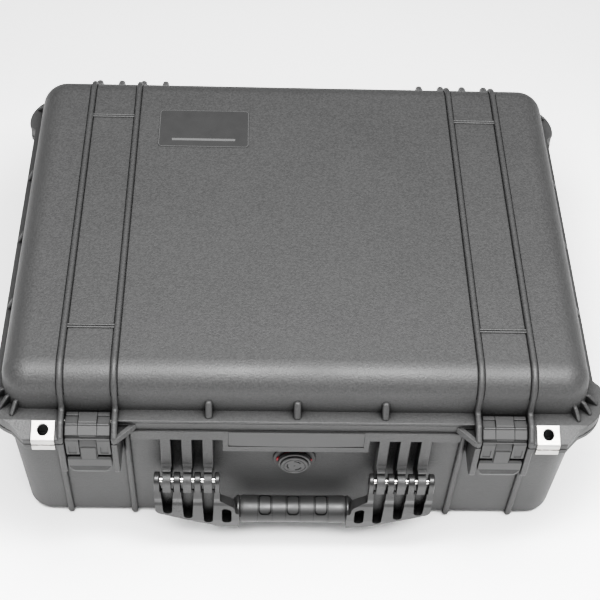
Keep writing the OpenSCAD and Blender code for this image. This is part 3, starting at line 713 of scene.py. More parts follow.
def lid_arch(height):
    """The lid's section in Y and Z at some height over its panel, from front to back."""
    far = BODY_D / 2 - LID_LEAN - LID_EDGE_R
    top = LID_TOP_Z - LID_EDGE_R
    radius = LID_EDGE_R + height
    return arc(-far, top, radius, 180, 90, 14) + arc(far, top, radius, 90, 0, 14)


def lid_rib_outline():
    """A lid rib in Y and Z: up the latch guard, over the lid and down behind."""
    foot = BODY_D / 2 + RIB_H
    rise = GUARD_TOP_Z + 6
    wall = lid_half(foot, GUARD_TOP_Z)
    front = rounded([
        (-GUARD_FRONT, PARTING_Z + LINE_GAP, 0), (-GUARD_FRONT, PARTING_Z + 8, 3),
        (-FLANGE_D / 2 - 4, GUARD_TOP_Z, 6), (-wall - 0.4, GUARD_TOP_Z + 0.8, 4),
        (-lid_half(foot, rise), rise, 0)], 0)
    back = [(lid_half(foot, LID_FLANGE_Z), LID_FLANGE_Z), (FLANGE_D / 2 - 1, LID_FLANGE_Z),
            (FLANGE_D / 2 - 1, PARTING_Z + 1)]
    return front + lid_arch(RIB_H) + back


def lid_rib(x):
    return plate_x(x, GUARD_T, lid_rib_outline(), 2.2, 5)


def rib_creases(x):
    """Shallow grooves in the lid's panel along both sides of a rib."""
    depth, width = 0.8, 0.9
    outline = lid_arch(2 * PAST) + list(reversed(lid_arch(-depth)))
    start = x - GUARD_T / 2 - width
    return [prism("YZ", outline, at, at + width) for at in (start, x + GUARD_T / 2)]


def cross_ridge(y):
    """Two low round beads side by side, which link the two ribs of one side."""
    radius = CROSS_RIDGE_W / 4
    beads = []
    for centre in (y - radius * 1.25, y + radius * 1.25):
        section = arc(centre, LID_TOP_Z + CROSS_RIDGE_H - radius, radius, 0, 180, 8)
        foot = [(centre - radius, LID_TOP_Z - PAST), (centre + radius, LID_TOP_Z - PAST)]
        beads.append(prism("YZ", section + foot, *GUARD_XS))
    return beads


def web(depth, height, thickness):
    """A three-sided web in Y and Z that braces a wall on the flange, standing on z = 0."""
    points = rounded([(-depth, -1, 0), (6, -1, 0), (6, height, 0), (0, height, 3),
                      (-depth, 1.5, 2.5)], 0)
    return prism("YZ", points, -thickness / 2, thickness / 2, thickness * 0.36, 3)


def placed(data, turn, x, y, z):
    """The mesh turned about the vertical by an angle in degrees, then moved."""
    where = Matrix.Translation(Vector((x, y, z)) * MM) @ Matrix.Rotation(math.radians(turn), 4, "Z")
    data.transform(where)
    return data


def lid_webs():
    """Webs between the lid's wall and its flange: in front, at the sides and corners."""
    solids = [placed(web(7.5, 13, 6.0), 0, x, -BODY_D / 2, LID_FLANGE_Z) for x in FRONT_WEB_XS]
    for y in SIDE_WEB_YS:
        solids += both([placed(web(5.5, 12, 5.0), 90, BODY_W / 2, y, LID_FLANGE_Z)])
    cx = BODY_W / 2 - CORNER_R
    cy = BODY_D / 2 - CORNER_R
    for angle in CORNER_WEB_ANGLES:
        for side in (-1, 1):
            turn = 90 + side * angle
            out = math.radians(side * angle)
            solids += both([placed(web(9, 9, 3.4), turn, cx + CORNER_R * math.cos(out),
                                   side * cy + CORNER_R * math.sin(out), LID_FLANGE_Z)])
    return solids


def hinge_knuckles(count, width, outline, edge=0.6):
    return [plate_x(HINGE_PIN.x + (i - (count - 1) / 2) * KNUCKLE_PITCH, width, outline, edge)
            for i in range(count)]


def lid_knuckle_outline():
    y, z = HINGE_PIN.y, PARTING_Z
    return ([(BODY_D / 2 - 3, z + LINE_GAP), (y - KNUCKLE_R, z + LINE_GAP)]
            + arc(y, z, KNUCKLE_R, 180, 450, 20) + [(BODY_D / 2 - 3, z + KNUCKLE_R)])


def lid_ear_outline():
    """The ear that carries a lid knuckle and runs up into the lid's rear wall."""
    back, z = HINGE_PIN.y + KNUCKLE_R - 0.5, PARTING_Z + LINE_GAP
    return ([(BODY_D / 2 - 3, z), (back, z)]
            + arc(back - EAR_R, PARTING_Z + EAR_R, EAR_R, 0, 70, 8)
            + [(BODY_D / 2 - 3, EAR_TOP_Z)])


def base_knuckle_outline():
    y, z = HINGE_PIN.y, PARTING_Z
    return (arc(y, z, KNUCKLE_R, -75, 165, 16)
            + [(y - KNUCKLE_R, z - 0.5), (BODY_D / 2 - 4, z - 0.5), (BODY_D / 2 - 4, z - 30),
               (BODY_D / 2 + 6, z - 16)])


def lid_flange():
    """The lid's flange: a bead along its upper edge, and a fine groove under the bead."""
    outline = flange_outline()
    bead_z = LID_FLANGE_Z - 2.8
    bead = prism("XY", outline, bead_z, LID_FLANGE_Z, 0.9, 4)
    neck = prism("XY", offset(outline, -0.9), bead_z - 1.2, bead_z + 1.2)
    face = prism("XY", offset(outline, -0.4), PARTING_Z + LINE_GAP, bead_z - 0.4, 0.35, 2)
    latch_half = GUARD_GAP / 2
    bay = box((LATCH_X - latch_half, -GUARD_FRONT - 5, PARTING_Z - 5),
              (LATCH_X + latch_half, -BODY_D / 2 + PAST, LID_FLANGE_Z + PAST))
    return combined(bead, add=[neck, face], cut=both([bay]))


def lid_moulding():
    outer = tub(BODY_W, BODY_D, CORNER_R, LID_LEAN, LID_EDGE_R, PARTING_Z, LID_TOP_Z)
    cavity = tub(BODY_W - 2 * WALL, BODY_D - 2 * WALL, CORNER_R - WALL, LID_LEAN,
                 LID_EDGE_R - WALL, PARTING_Z - PAST, LID_TOP_Z - WALL)
    creases = [groove for x in GUARD_XS for groove in rib_creases(x)]
    panel = combined(outer, cut=both(creases))
    parts = [lid_shelf(), lid_gusset(), *(lid_rib(x) for x in GUARD_XS)]
    for y in CROSS_RIDGE_YS:
        parts += cross_ridge(y)
    parts += hinge_knuckles(4, LID_KNUCKLE_W, lid_knuckle_outline())
    parts += hinge_knuckles(4, EAR_T, lid_ear_outline(), 2.6)
    lip = 2.5
    groove = loft_ring(BODY_W - 2 * lip, BODY_D - 2 * lip, CORNER_R - lip, WALL - lip + PAST,
                       PARTING_Z - PAST, PARTING_Z + 3.4)
    cuts = [cavity, groove, *both([padlock_notch(), hinge_bore(), jaw_bore()])]
    return combined(panel, add=[lid_flange(), *lid_webs(), *both(parts)], cut=cuts)


def loft_ring(w, d, radius, width, start, end):
    """A rectangular ring with rounded corners, width wide, between two levels."""
    outer = rounded_rect(w, d, radius, 10)
    inner = rounded_rect(w - 2 * width, d - 2 * width, radius - width, 10)
    rings = [[(x, y, z) for x, y in ring]
             for ring, z in ((outer, start), (outer, end), (inner, end), (inner, start))]
    return loft(rings, closed=True)


def padlock_notch():
    """The notch behind the padlock hole, which the steel clips cover."""
    half = PADLOCK_HOLE_R + 0.75
    return box((PADLOCK_X - half, -GUARD_FRONT - 5, BASE_FLANGE_Z - 5),
               (PADLOCK_X + half, PADLOCK_Y + half, LID_FLANGE_Z + 5))


def hinge_bore():
    return bore(HINGE_PIN, HINGE_PIN_R + PIN_GAP, HINGE_PIN.x - 60, HINGE_PIN.x + 60)


def jaw_bore():
    return bore(JAW_PIN, JAW_PIN_R, *GUARD_XS, 24)


def base_rib(x):
    """A skid rib: down the front, under the floor and up the back."""
    top = BODY_D / 2 + BASE_RIB_H
    radius = BASE_EDGE_R + BASE_RIB_H
    far = base_half(top, radius) - radius
    z = BASE_FLANGE_Z + 1
    outline = ([(-base_half(top, z), z)] + arc(-far, radius, radius, 180, 270, 10)
               + arc(far, radius, radius, 270, 360, 10) + [(base_half(top, z), z)])
    return plate_x(x, BASE_RIB_T, outline, 2.3, 4)


def base_guard(x):
    back, top_z = -BODY_D / 2 + 4, PARTING_Z - LINE_GAP
    outline = rounded([(back, GUARD_LOW_Z, 0), (back, top_z, 0), (-GUARD_FRONT, top_z, 0),
                       (-GUARD_FRONT, GUARD_LOW_Z, 6)], 0, 6)
    return plate_x(x, GUARD_T, outline, 1.2, 3)


def base_lug(x):
    """A handle lug: a column under the band, with a ledge and a knuckle around the pin."""
    y, z = HANDLE_PIN.y, HANDLE_PIN.z
    ledge_z = z + 8.6
    column = rounded([
        (-LUG_BACK, z - 20, 0), (-LUG_BACK, BAND_Z + 2, 0), (-BAND_FRONT, BAND_Z + 2, 0),
        (-BAND_FRONT, z + 12, 4), (-BAND_FRONT - 1.2, ledge_z, 0), (-BAND_FRONT, z + 4, 0)], 0)
    ledge = rounded([
        (-LUG_BACK, z - 24, 0), (-LUG_BACK, ledge_z, 0), (y + 2.6, ledge_z, 0.9),
        (y + 2.6, z + 6.0, 0.8), (y + 4.6, z + 4.6, 0), (y + 4.6, LUG_LOW_Z, 0)], 0)
    barrel = FINGER_R - 0.4
    knuckle = ([(y + 5.4, z - 1), (y + 5.4, z + 2)] + arc(y, z, barrel, 70, 180, 10)
               + [(y - barrel, LUG_LOW_Z), (-BAND_FRONT, LUG_LOW_Z)])
    return [plate_x(x, LUG_COLUMN_W, column, 0.7), plate_x(x, LUG_W, ledge, 0.4),
            plate_x(x, LUG_W, knuckle, 0.5)]


def base_band():
    """The band under the parting line, and the frame of the name panel in its middle."""
    inner = GUARD_XS[0] - GUARD_T / 2 - 10
    panel = low("name_panel"), high("name_panel")
    frame_half = panel[1].x + 4.6
    band = box((-inner, -BAND_FRONT, BAND_Z), (inner, -BODY_D / 2 + 3, PARTING_Z), 0.8)
    around = box((-frame_half, -BAND_FRONT, panel[0].z - 7.6),
                 (frame_half, -BODY_D / 2 + 5, PARTING_Z - 2), 0.8)
    recess = box((-panel[1].x - 0.2, -BAND_FRONT - PAST, panel[0].z - 0.2),
                 (panel[1].x + 0.2, -BAND_FRONT + 1.6, PARTING_Z + PAST))
    return band, around, recess


def base_moulding():
    outer = tub(BODY_W, BODY_D, CORNER_R, BASE_LEAN, BASE_EDGE_R, PARTING_Z, SKID_H)
    cavity = tub(BODY_W - 2 * WALL, BODY_D - 2 * WALL, CORNER_R - WALL, BASE_LEAN,
                 BASE_EDGE_R - 3, PARTING_Z + PAST, FLOOR_TOP_Z)
    flange = prism("XY", flange_outline(), BASE_FLANGE_Z, PARTING_Z - LINE_GAP, 0.8)
    band, around, recess = base_band()
    seat_front = -BODY_D / 2
    seat = turned("Y", (0, VENT_Z), [(-175, VENT_SEAT_R), (seat_front + 0.6, VENT_SEAT_R),
                                     (seat_front, VENT_SEAT_R - 0.6)])
    port_r = VENT_THREAD_R + 0.2
    port = turned("Y", (0, VENT_Z), [(-240, port_r), (-150, port_r)], 32)
    parts = [base_shelf(), *(base_rib(x) for x in BASE_RIB_XS),
             *(base_guard(x) for x in GUARD_XS)]
    for x in LUG_XS:
        parts += base_lug(x)
    parts += hinge_knuckles(3, BASE_KNUCKLE_W, base_knuckle_outline())
    pin_bore = bore(HANDLE_PIN, HANDLE_PIN_R + PIN_GAP, LUG_X - 15, HANDLE_HALF_W + 5)
    cuts = [cavity, recess, port, *both([padlock_notch(), pin_bore, hinge_bore()])]
    return combined(outer, add=[flange, band, around, seat, *both(parts)], cut=cuts)


def make_shells():
    piece("base_shell_moulding", base_moulding(), "base", SHELL, ["base_shell"])
    piece("lid_shell_moulding", lid_moulding(), "lid", SHELL, ["lid_shell"])


def make_seal():
    """The rubber seal in the lid's rim, with a rounded section."""
    half_w, half_h = 2.2, 1.7
    inset = SEAL_INSET + half_w
    steps = 12
    rings = []
    for k in range(steps):
        t = math.tau * k / steps
        out = inset - half_w * math.cos(t)
        path = rounded_rect(BODY_W - 2 * out, BODY_D - 2 * out, CORNER_R - out, 10)
        z = PARTING_Z + half_h + half_h * math.sin(t)
        rings.append([(x, y, z) for x, y in path])
    piece("lid_seal_cord", loft(rings, closed=True), "lid", SEAL, ["lid_seal"])


# --------------------------------------------------------------- clips and latches

def clip_plate(profile, low_z, high_z):
    """A steel clip from its section in Y and Z, with the padlock hole through it."""
    half = CLIP_W / 2
    strip = prism("YZ", rounded(profile, 0.5, 4), PADLOCK_X - half, PADLOCK_X + half, 0.5, 3)
    hole = prism("XY", circle(PADLOCK_X, PADLOCK_Y, PADLOCK_HOLE_R, 40), low_z, high_z)
    plan = rounded(rect(PADLOCK_X - half, CLIP_FRONT - PAST, PADLOCK_X + half,
                        -FLANGE_D / 2 + 0.3), 2.0, 4)
    return combined(strip, cut=[hole], keep=[prism("XY", plan, low_z, high_z)])


def make_clips():
    """The bent steel clips: one over the lid's sloping shelf, one under the base's."""
    t = CLIP_STEEL_T
    slope = math.atan2(LID_FLANGE_Z - SHELF_FRONT_Z, GUARD_FRONT - FLANGE_D / 2)
    back = (-FLANGE_D / 2, LID_FLANGE_Z)
    lifted = (back[0] - t * math.sin(slope), back[1] + t * math.cos(slope))
    fold_z = lifted[1] + (CLIP_FRONT - lifted[0]) * math.tan(slope)
    lid_end, base_end = PARTING_Z + 0.8, PARTING_Z - 0.8
    lid = [back, (-GUARD_FRONT, SHELF_FRONT_Z, 0.4), (-GUARD_FRONT, lid_end),
           (CLIP_FRONT, lid_end), (CLIP_FRONT, fold_z, 1.5), lifted]
    base = [(CLIP_FRONT, base_end), (-GUARD_FRONT, base_end),
            (-GUARD_FRONT, BASE_FLANGE_Z, 0.3), (-FLANGE_D / 2, BASE_FLANGE_Z),
            (-FLANGE_D / 2, BASE_FLANGE_Z - t), (CLIP_FRONT, BASE_FLANGE_Z - t, 1.4)]
    for body, profile in (("lid", lid), ("base", base)):
        right = clip_plate(profile, PARTING_Z - 20, PARTING_Z + 30)
        for side, data in (("left", flipped(right)), ("right", right)):
            name = f"{body}_clip_{side}"
            piece(name + "_plate", data, body, CLIP_STEEL, [name])


def jaw_profile():
    """Section of the jaw in Y and Z, from its hinge down to its foot and back."""
    y, z = JAW_PIN.y, JAW_PIN.z
    low_z = low("latch_jaw_right").z
    front = JAW_FRONT
    return rounded([
        (y + 6, z - 4), (y - 1.5, PARTING_Z + 2), (y - 4.5, PARTING_Z + 1),
        (y - 4.5, low_z + 10), (y - 3.3, low_z + 8.5), (y - 3.3, low_z + 1.5), (y - 4.5, low_z),
        (front + 1.4, low_z), (front + 0.5, low_z + 1), (front + 0.5, z - 5.2, 1.2),
        (front + 2.2, z - 3.6, 0.4), (front + 2.9, z - 4.4, 0.2), (front + 3.7, z - 3.0, 0.2),
        (front + 3.4, z - 0.6, 0.5), (y - 7.0, z + 4.2, 0.6), (y - 6.0, z + 4.7, 0.4),
        (y + 7, z + 4.7, 1.0), (y + 7, z + 1), (y + 6.6, z - 2)], 0.7, 3)


def jaw_bridge(front):
    """Section of a bridge over the jaw's pin, from front to the back of the hinge."""
    y, z = JAW_PIN.y, JAW_PIN.z
    return [(front, z + 3), (y + 6.6, z + 3), (y + 6.6, z + 4.8), (y + 5.2, z + 6)]


def jaw_seams():
    """Two upright seams beside the hood, cut only where they show."""
    y, z = JAW_PIN.y, JAW_PIN.z
    shown = prism("YZ", [(y - 16, z - 3), (y - 5.6, z + 4.0), (y + 8, z + 4.0), (y + 8, z + 8),
                         (y - 16, z + 8)], LATCH_X - 12, LATCH_X + 12)
    seams = []
    for side in (-1, 1):
        x = LATCH_X + side * 8.0
        seam = box((x - 0.3, y - 14, z - 1.6), (x + 0.3, y + 8, z + 7))
        seams.append(combined(seam, keep=[shown]))
    return seams


def latch_jaw():
    """The right jaw: hung from the guards' pin, hollowed for the lever's tongue."""
    y, z = JAW_PIN.y, JAW_PIN.z
    low_z = low("latch_jaw_right").z
    body = plate_x(LATCH_X, JAW_W, jaw_profile(), 0.7)
    hood = rounded([*jaw_bridge(y - 5.4), (y - 4.4, z + 6), (y - 5.4, z + 5.2)], 0.5)
    hinge_side = rounded([*jaw_bridge(y + 1.9), (y + 1.9, z + 6)], 0.5)
    ridge = circle(y - 6.2, z + 4.5, 1.1, 12)
    adds = [plate_x(LATCH_X, TONGUE_W + 1, hood, 0.5),
            plate_x(LATCH_X, JAW_W - 1.2, hinge_side, 0.5),
            plate_x(LATCH_X, JAW_W - 1.6, ridge, 0.4)]
    slot = TONGUE_W / 2 + 0.4
    space = box((LATCH_X - slot, JAW_FRONT - PAST, low_z - PAST),
                (LATCH_X + slot, y - 5.1, z - 4.4))
    steps = []
    for side in (-1, 1):
        x = LATCH_X + side * (JAW_W / 2 - 5.5)
        steps.append(box((x - 3.2, JAW_FRONT - PAST, low_z + 2.4),
                         (x + 3.2, JAW_FRONT + 1.1, low_z + 12.5), 0.4))
    bores = [bore(JAW_PIN, JAW_PIN_R + PIN_GAP, LATCH_X - 25, LATCH_X + 25, 24),
             bore(LEVER_PIN, LEVER_PIN_R, LATCH_X - 25, LATCH_X + 25, 24)]
    return combined(body, add=adds, cut=[space, *steps, *jaw_seams(), *bores])


def lever_tab():
    """The lever's wide pull tab: round lower corners, leaning in to its lower edge."""
    start, end = low("latch_lever_right"), high("latch_lever_right")
    front, low_z = start.y, start.z
    corners = rounded([(start.x, TAB_TOP_Z, 1.2), (start.x, low_z, 11.0),
                       (end.x, low_z, 11.0), (end.x, TAB_TOP_Z, 1.2)], 0, 8)
    section = rounded([
        (front, TAB_TOP_Z - 1.6, 1.4), (front + 1.4, TAB_TOP_Z, 0.8),
        (front + 6.5, TAB_TOP_Z, 0.8), (front + 7, low_z + 4, 2), (front + 4, low_z, 1.5),
        (front + 1.6, low_z, 1.6), (front, low_z + 5, 6)], 0, 5)
    return combined(prism("YZ", section, start.x - PAST, end.x + PAST),
                    keep=[prism("XZ", corners, front - 2, front + 9)])


def latch_lever():
    """The right lever: a tongue on its pin in the jaw, spreading into a wide pull tab."""
    start, end = low("latch_lever_right"), high("latch_lever_right")
    front, low_z = start.y, start.z
    y, z = LEVER_PIN.y, LEVER_PIN.z
    tongue = (arc(y, z, 5, 0, 120, 8)
              + [(front + 1.8, z - 4.5), (front + 1.2, z - 6), (front + 1.2, TAB_TOP_Z),
                 (front + 2, low_z + 4), (y + 1, low_z + 5)])
    shoulder = rounded([(front + 0.2, z - 8.4), (front + 3, z - 8.4), (front + 4, low_z + 6),
                        (front + 0.2, low_z + 6)], 0.5)
    # Finger grooves across the tab's lower part, longer from one to the next
    teeth = [prism("YZ", circle(front - 0.2, low_z + 2.2 + 1.7 * i, 0.75, 10),
                   start.x + 6 - i, end.x - 6 + i) for i in range(6)]
    pin_bore = bore(LEVER_PIN, LEVER_PIN_R + PIN_GAP, LATCH_X - 25, LATCH_X + 25, 24)
    return combined(plate_x(LATCH_X, TONGUE_W, tongue, 0.4),
                    add=[plate_x(LATCH_X, 12.6, shoulder, 0.4), lever_tab()],
                    cut=[pin_bore, *teeth])


def make_latches():
    for part, build in (("jaw", latch_jaw), ("lever", latch_lever)):
        right = build()
        for side, data in (("left", flipped(right)), ("right", right)):
            node_name = f"latch_{part}_{side}"
            name = f"latch_{part}_moulding_{side}"
            piece(name, data, f"{part}_{side}", LATCH, [node_name])


def make_pins():
    """Steel pins with chamfered ends, one for each CAD pin."""
    bodies = {"jaw_pin": "lid", "hinge_pin": "base", "handle_pin": "handle"}
    for kind in ("jaw_pin", "lever_pin", "hinge_pin", "handle_pin"):
        for side in ("left", "right"):
            name = f"{kind}_{side}"
            start, end = low(name), high(name)
            radius = (end.z - start.z) / 2
            cut = radius * 0.25
            profile = [(start.x, radius - cut), (start.x + cut * 0.3, radius - cut * 0.3),
                       (start.x + cut, radius), (end.x - cut, radius),
                       (end.x - cut * 0.3, radius - cut * 0.3), (end.x, radius - cut)]
            data = turned("X", ((start.y + end.y) / 2, (start.z + end.z) / 2), profile, 32)
            body = bodies.get(kind, f"jaw_{side}")
            piece(name + "_rod", data, body, PIN_STEEL, [name])


# ---------------------------------------------------------------------- handle

def strap_low(x):
    """Height of the strap's sloping lower edge at x."""
    slope = (STRAP_SIDE_Z - STRAP_LOW_Z) / (HANDLE_HALF_W - STRAP_MID_X)
    return STRAP_LOW_Z + max(0.0, x - STRAP_MID_X) * slope


def strap_plan():
    """Front view of the right half of the strap, without its slots."""
    top_z = STRAP_TOP_Z + 2
    return rounded([
        (40, STRAP_LOW_Z, 0), (STRAP_MID_X, STRAP_LOW_Z, 20), (HANDLE_HALF_W, STRAP_SIDE_Z, 7),
        (HANDLE_HALF_W, top_z, 0), (HANDLE_INNER_X, top_z, 0), (HANDLE_INNER_X, 74, 4),
        (GRIP_HALF_W + 5, 66, 8), (GRIP_HALF_W + 4, 56, 3), (40, 56, 0)], 0, 6)


def tapered_slot(x, low_z, top_z, low_w, top_w):
    """A slot in X and Z with a round lower end, wider towards its open top."""
    half = low_w / 2
    round_end = arc(x, low_z + half, half, 180, 360, 10)
    return round_end + [(x + top_w / 2, top_z), (x - top_w / 2, top_z)]


def strap_section():
    """Section of the strap in Y and Z: thick below, drawn in a little at mid height."""
    f, b = -STRAP_FRONT, -STRAP_FRONT + STRAP_T
    return rounded([
        (b, STRAP_LOW_Z - 1, 0), (b, STRAP_TOP_Z + 3, 0), (f + 3.2, STRAP_TOP_Z + 3, 0),
        (f + 1.6, 81, 3), (f + 1.4, 79, 3), (f + 2.3, 72, 3), (f + 0.9, 69, 3), (f + 0.2, 60, 6),
        (f, STRAP_LOW_Z + 12, 8), (f + 0.8, STRAP_LOW_Z - 1, 0)], 0, 4)


def strap_cuts():
    """The strap's three slots between the fingers, and its blind window beside the grip, closed at
    the back by a dark sheet that stands in for shade.
    """
    start, end = -STRAP_FRONT - 3, -STRAP_FRONT + STRAP_T + 3
    slots = [prism("XZ", tapered_slot(x, strap_low(x) + 3, STRAP_TOP_Z + 8, 8.0, 11.6), start, end)
             for x in LUG_XS]
    window = rounded([(54.6, 42), (63.2, 42), (63.2, 66), (54.6, 62)], 4.0, 6)
    return [*slots, prism("XZ", window, start, -STRAP_FRONT + STRAP_T - SHADE_WEB_T)]


def slot_shade_webs():
    """Thin webs that close the slots at the strap's rear face, under the lugs: dark sheets that
    stand in for the shade seen through the open slots.
    """
    back = -STRAP_FRONT + STRAP_T
    return [box((x - 6.5, back - SHADE_WEB_T, strap_low(x) + 2), (x + 6.5, back, STRAP_TOP_Z - 3))
            for x in LUG_XS]


def handle_fingers():
    """Four fingers that reach from the strap's top edge round the pin."""
    y, z = HANDLE_PIN.y, HANDLE_PIN.z
    front = -STRAP_FRONT
    outline = ([(front + 2.6, STRAP_TOP_Z - 8), (front + STRAP_T, STRAP_TOP_Z - 8),
                (y + FINGER_R - 0.2, z - 3)]
               + arc(y, z, FINGER_R, 0, 170, 12) + [(front + 3.0, z - 5)])
    gap = LUG_W / 2 + 2.4
    starts = [HANDLE_INNER_X] + [x + gap for x in LUG_XS]
    ends = [x - gap for x in LUG_XS] + [HANDLE_HALF_W]
    return [prism("YZ", outline, start, end, 1.0, 3) for start, end in zip(starts, ends)]


def grip_collar():
    """The round collar that holds the end of the grip."""
    end = GRIP_HALF_W
    return turned("X", (GRIP_Y, GRIP_Z), [
        (end - 3, GRIP_CORE_R), (end + 0.3, GRIP_CORE_R), (end + 0.3, GRIP_R - 1.2),
        (end + 1.2, GRIP_R - 0.3), (end + 2.4, GRIP_R - 0.2), (end + 4.2, GRIP_R - 1.2),
        (end + 6.5, GRIP_R - 3.8), (end + 8, GRIP_CORE_R - 1)], 40)


def handle_moulding():
    """The handle's frame: both straps with their fingers, joined by the grip's core."""
    plan = prism("XZ", strap_plan(), -STRAP_FRONT - 2, -STRAP_FRONT + STRAP_T + 2)
    strap = combined(prism("YZ", strap_section(), GRIP_HALF_W + 1, HANDLE_HALF_W), keep=[plan])
    right = combined(strap, add=handle_fingers(), cut=strap_cuts())
    right = combined(right, add=[grip_collar(), *slot_shade_webs()])
    half = GRIP_HALF_W + 2
    core = turned("X", (GRIP_Y, GRIP_Z), [(-half, GRIP_CORE_R), (half, GRIP_CORE_R)], 40)
    pin_bore = bore(HANDLE_PIN, HANDLE_PIN_R, 50, HANDLE_HALF_W + 2)
    return combined(core, add=both([right]), cut=both([pin_bore]))


def grip_sleeve():
    """The grip as a plain bored sleeve, slightly waisted."""
    steps = 40
    profile = []
    for k in range(steps + 1):
        x = -GRIP_HALF_W + 2 * GRIP_HALF_W * k / steps
        waist = 0.5 * (1 - (x / GRIP_HALF_W) ** 2)
        end = 0.9 if k in (0, steps) else 0.0
        profile.append((x, GRIP_R - waist - end))
    bore_r = GRIP_CORE_R + 0.02
    profile += [(GRIP_HALF_W, bore_r), (-GRIP_HALF_W, bore_r)]
    return turned("X", (GRIP_Y, GRIP_Z), profile, 64, closed=True)


def grip_grooves():
    """Grooves around three pads on top of the grip, and fine mould lines beside each pad."""
    floor_r = GRIP_R - 1.6
    core = turned("X", (GRIP_Y, GRIP_Z), [(-GRIP_HALF_W, floor_r), (GRIP_HALF_W, floor_r)], 64)
    lean = (Matrix.Translation(Vector((0, GRIP_Y, GRIP_Z)) * MM)
            @ Matrix.Rotation(math.radians(9), 4, "X"))
    grooves = []
    for x in GRIP_PAD_XS:
        pad, rim = (prism("XY", [(x + px, py) for px, py in rounded(rect(-w, -d, w, d), r, 5)],
                          0, GRIP_R + 3) for w, d, r in ((4.7, 8.3, 2.8), (5.9, 9.5, 3.6)))
        for tool in (pad, rim):
            tool.transform(lean)
        grooves.append(combined(rim, cut=[pad, core]))
        for line_x in (x - 6.7, x + 6.4):
            line = [(line_x, GRIP_R - 1.0), (line_x + 0.3, GRIP_R - 1.0),
                    (line_x + 0.3, GRIP_R + 1), (line_x, GRIP_R + 1)]
            grooves.append(turned("X", (GRIP_Y, GRIP_Z), line, 64, closed=True))
    return grooves


def make_handle():
    piece("handle_moulding", handle_moulding(), "handle", HANDLE,
          ["handle_frame"])
    sleeve = combined(grip_sleeve(), cut=grip_grooves())
    piece("handle_grip_sleeve", sleeve, "handle", GRIP, ["handle_grip"])


# ------------------------------------------------------- vent, name panel and label

def vent_seal(radius, back, front):
    """The red seal: a ring that shows at the vent's edge, with a tab at each side."""
    ring_r, inner_r = radius - 2.6, VENT_THREAD_R + 0.4
    ring = turned("Y", (0, VENT_Z), [(back, inner_r), (back, ring_r), (front, ring_r),
                                     (front, inner_r)], 64, closed=True)
    tabs = [prism("XZ", circle(x, VENT_Z + rise, tab_r, 20), front, back, 0.3)
            for x, rise, tab_r in ((1.8 - radius, 1.5, 2.6), (radius - 1.4, 0.5, 1.5))]
    return combined(ring, add=tabs)


def vent_body(inner, back, front):
    """The vent's body: a threaded neck through the wall, and a stepped head outside it."""
    neck_r, head_r = VENT_THREAD_R, 14.5
    return turned("Y", (0, VENT_Z), [
        (inner, 5.5), (inner, neck_r - 0.4), (inner - 0.4, neck_r), (back, neck_r),
        (back, head_r - 0.3), (back - 0.3, head_r), (front + 1.2, head_r),
        (front + 0.3, head_r - 0.3), (front, head_r - 1.0), (front, 12.4), (front + 1.0, 12.2),
        (front + 1.0, 5.5)], 64, closed=True)


def vent_cap(front, tip):
    """The vent's cap, with two raised rings, three arc slots and a dimple."""
    cap = turned("Y", (0, VENT_Z), [
        (front + 0.9, 0.5), (front + 0.9, 11.4), (front - 0.6, 12.0), (tip + 0.5, 12.0),
        (tip, 11.5), (tip, 10.2), (tip + 0.5, 9.9), (tip + 0.5, 8.9), (tip, 8.6), (tip, 7.6),
        (tip + 0.3, 7.3), (tip + 0.3, 0.5)], 64)
    cuts = []
    for start in (35, 155, 275):
        outer = arc(0, VENT_Z, 6.9, start, start + 62, 10)
        inner = arc(0, VENT_Z, 5.7, start + 62, start, 10)
        cuts.append(prism("XZ", outer + inner, tip - 1, tip + 1.4))
    cuts.append(prism("XZ", circle(0, VENT_Z, 0.8, 12), tip - 1, tip + 0.8))
    return combined(cap, cut=cuts)


def vent_nut(start, end):
    across = (end.x - start.x) / 2
    hexagon = rounded(arc(0, VENT_Z, across, 0, 300, 5), 1.0, 3)
    hole = turned("Y", (0, VENT_Z), [(start.y - 5, VENT_THREAD_R), (end.y + 5, VENT_THREAD_R)], 32)
    return combined(prism("XZ", hexagon, start.y, end.y, 0.5), cut=[hole])


def vent_membrane(start, end):
    radius, chamfer = (end.x - start.x) / 2, 0.15
    return turned("Y", (0, VENT_Z), [(start.y, radius - chamfer), (start.y + chamfer, radius),
                                     (end.y - chamfer, radius), (end.y, radius - chamfer)], 32)


def make_vent():
    """The pressure vent: seal ring, stepped body, cap, nut and membrane."""
    seal_low, seal_high = low("vent_seal"), high("vent_seal")
    front, tip = low("vent_cap").y + 2.0, low("vent_cap").y
    seal = vent_seal((seal_high.z - seal_low.z) / 2, seal_high.y, seal_low.y)
    body = vent_body(high("vent_body").y, seal_low.y, front)
    nut = vent_nut(low("vent_nut"), high("vent_nut"))
    film = vent_membrane(low("vent_membrane"), high("vent_membrane"))
    for name, data, material, slot, part in (
            ("vent_seal_ring", seal, RED, "red_rubber", "vent_seal"),
            ("vent_body_turning", body, VENT, "vent_plastic", "vent_body"),
            ("vent_cap_disc", vent_cap(front, tip), VENT, "vent_plastic", "vent_cap"),
            ("vent_nut_hexagon", nut, VENT, "vent_plastic", "vent_nut"),
            ("vent_membrane_disc", film, MEMBRANE, "vent_film", "vent_membrane")):
        piece(name, data, "base", material, [part])


def make_name_panel():
    """The blank panel in the band; its lower edge bows down in the middle."""
    start, end = low("name_panel"), high("name_panel")
    half, bow = end.x, 1.2
    radius = (half ** 2 + bow ** 2) / (2 * bow)
    spread = math.degrees(math.asin(half / radius))
    edge = arc(0, start.z + radius, radius, 270 - spread, 270 + spread, 16)
    outline = edge + [(half, end.z), (-half, end.z)]
    data = prism("XZ", outline, start.y, end.y, 0.35, 3)
    piece("name_panel_plate", data, "base", LATCH, ["name_panel"])


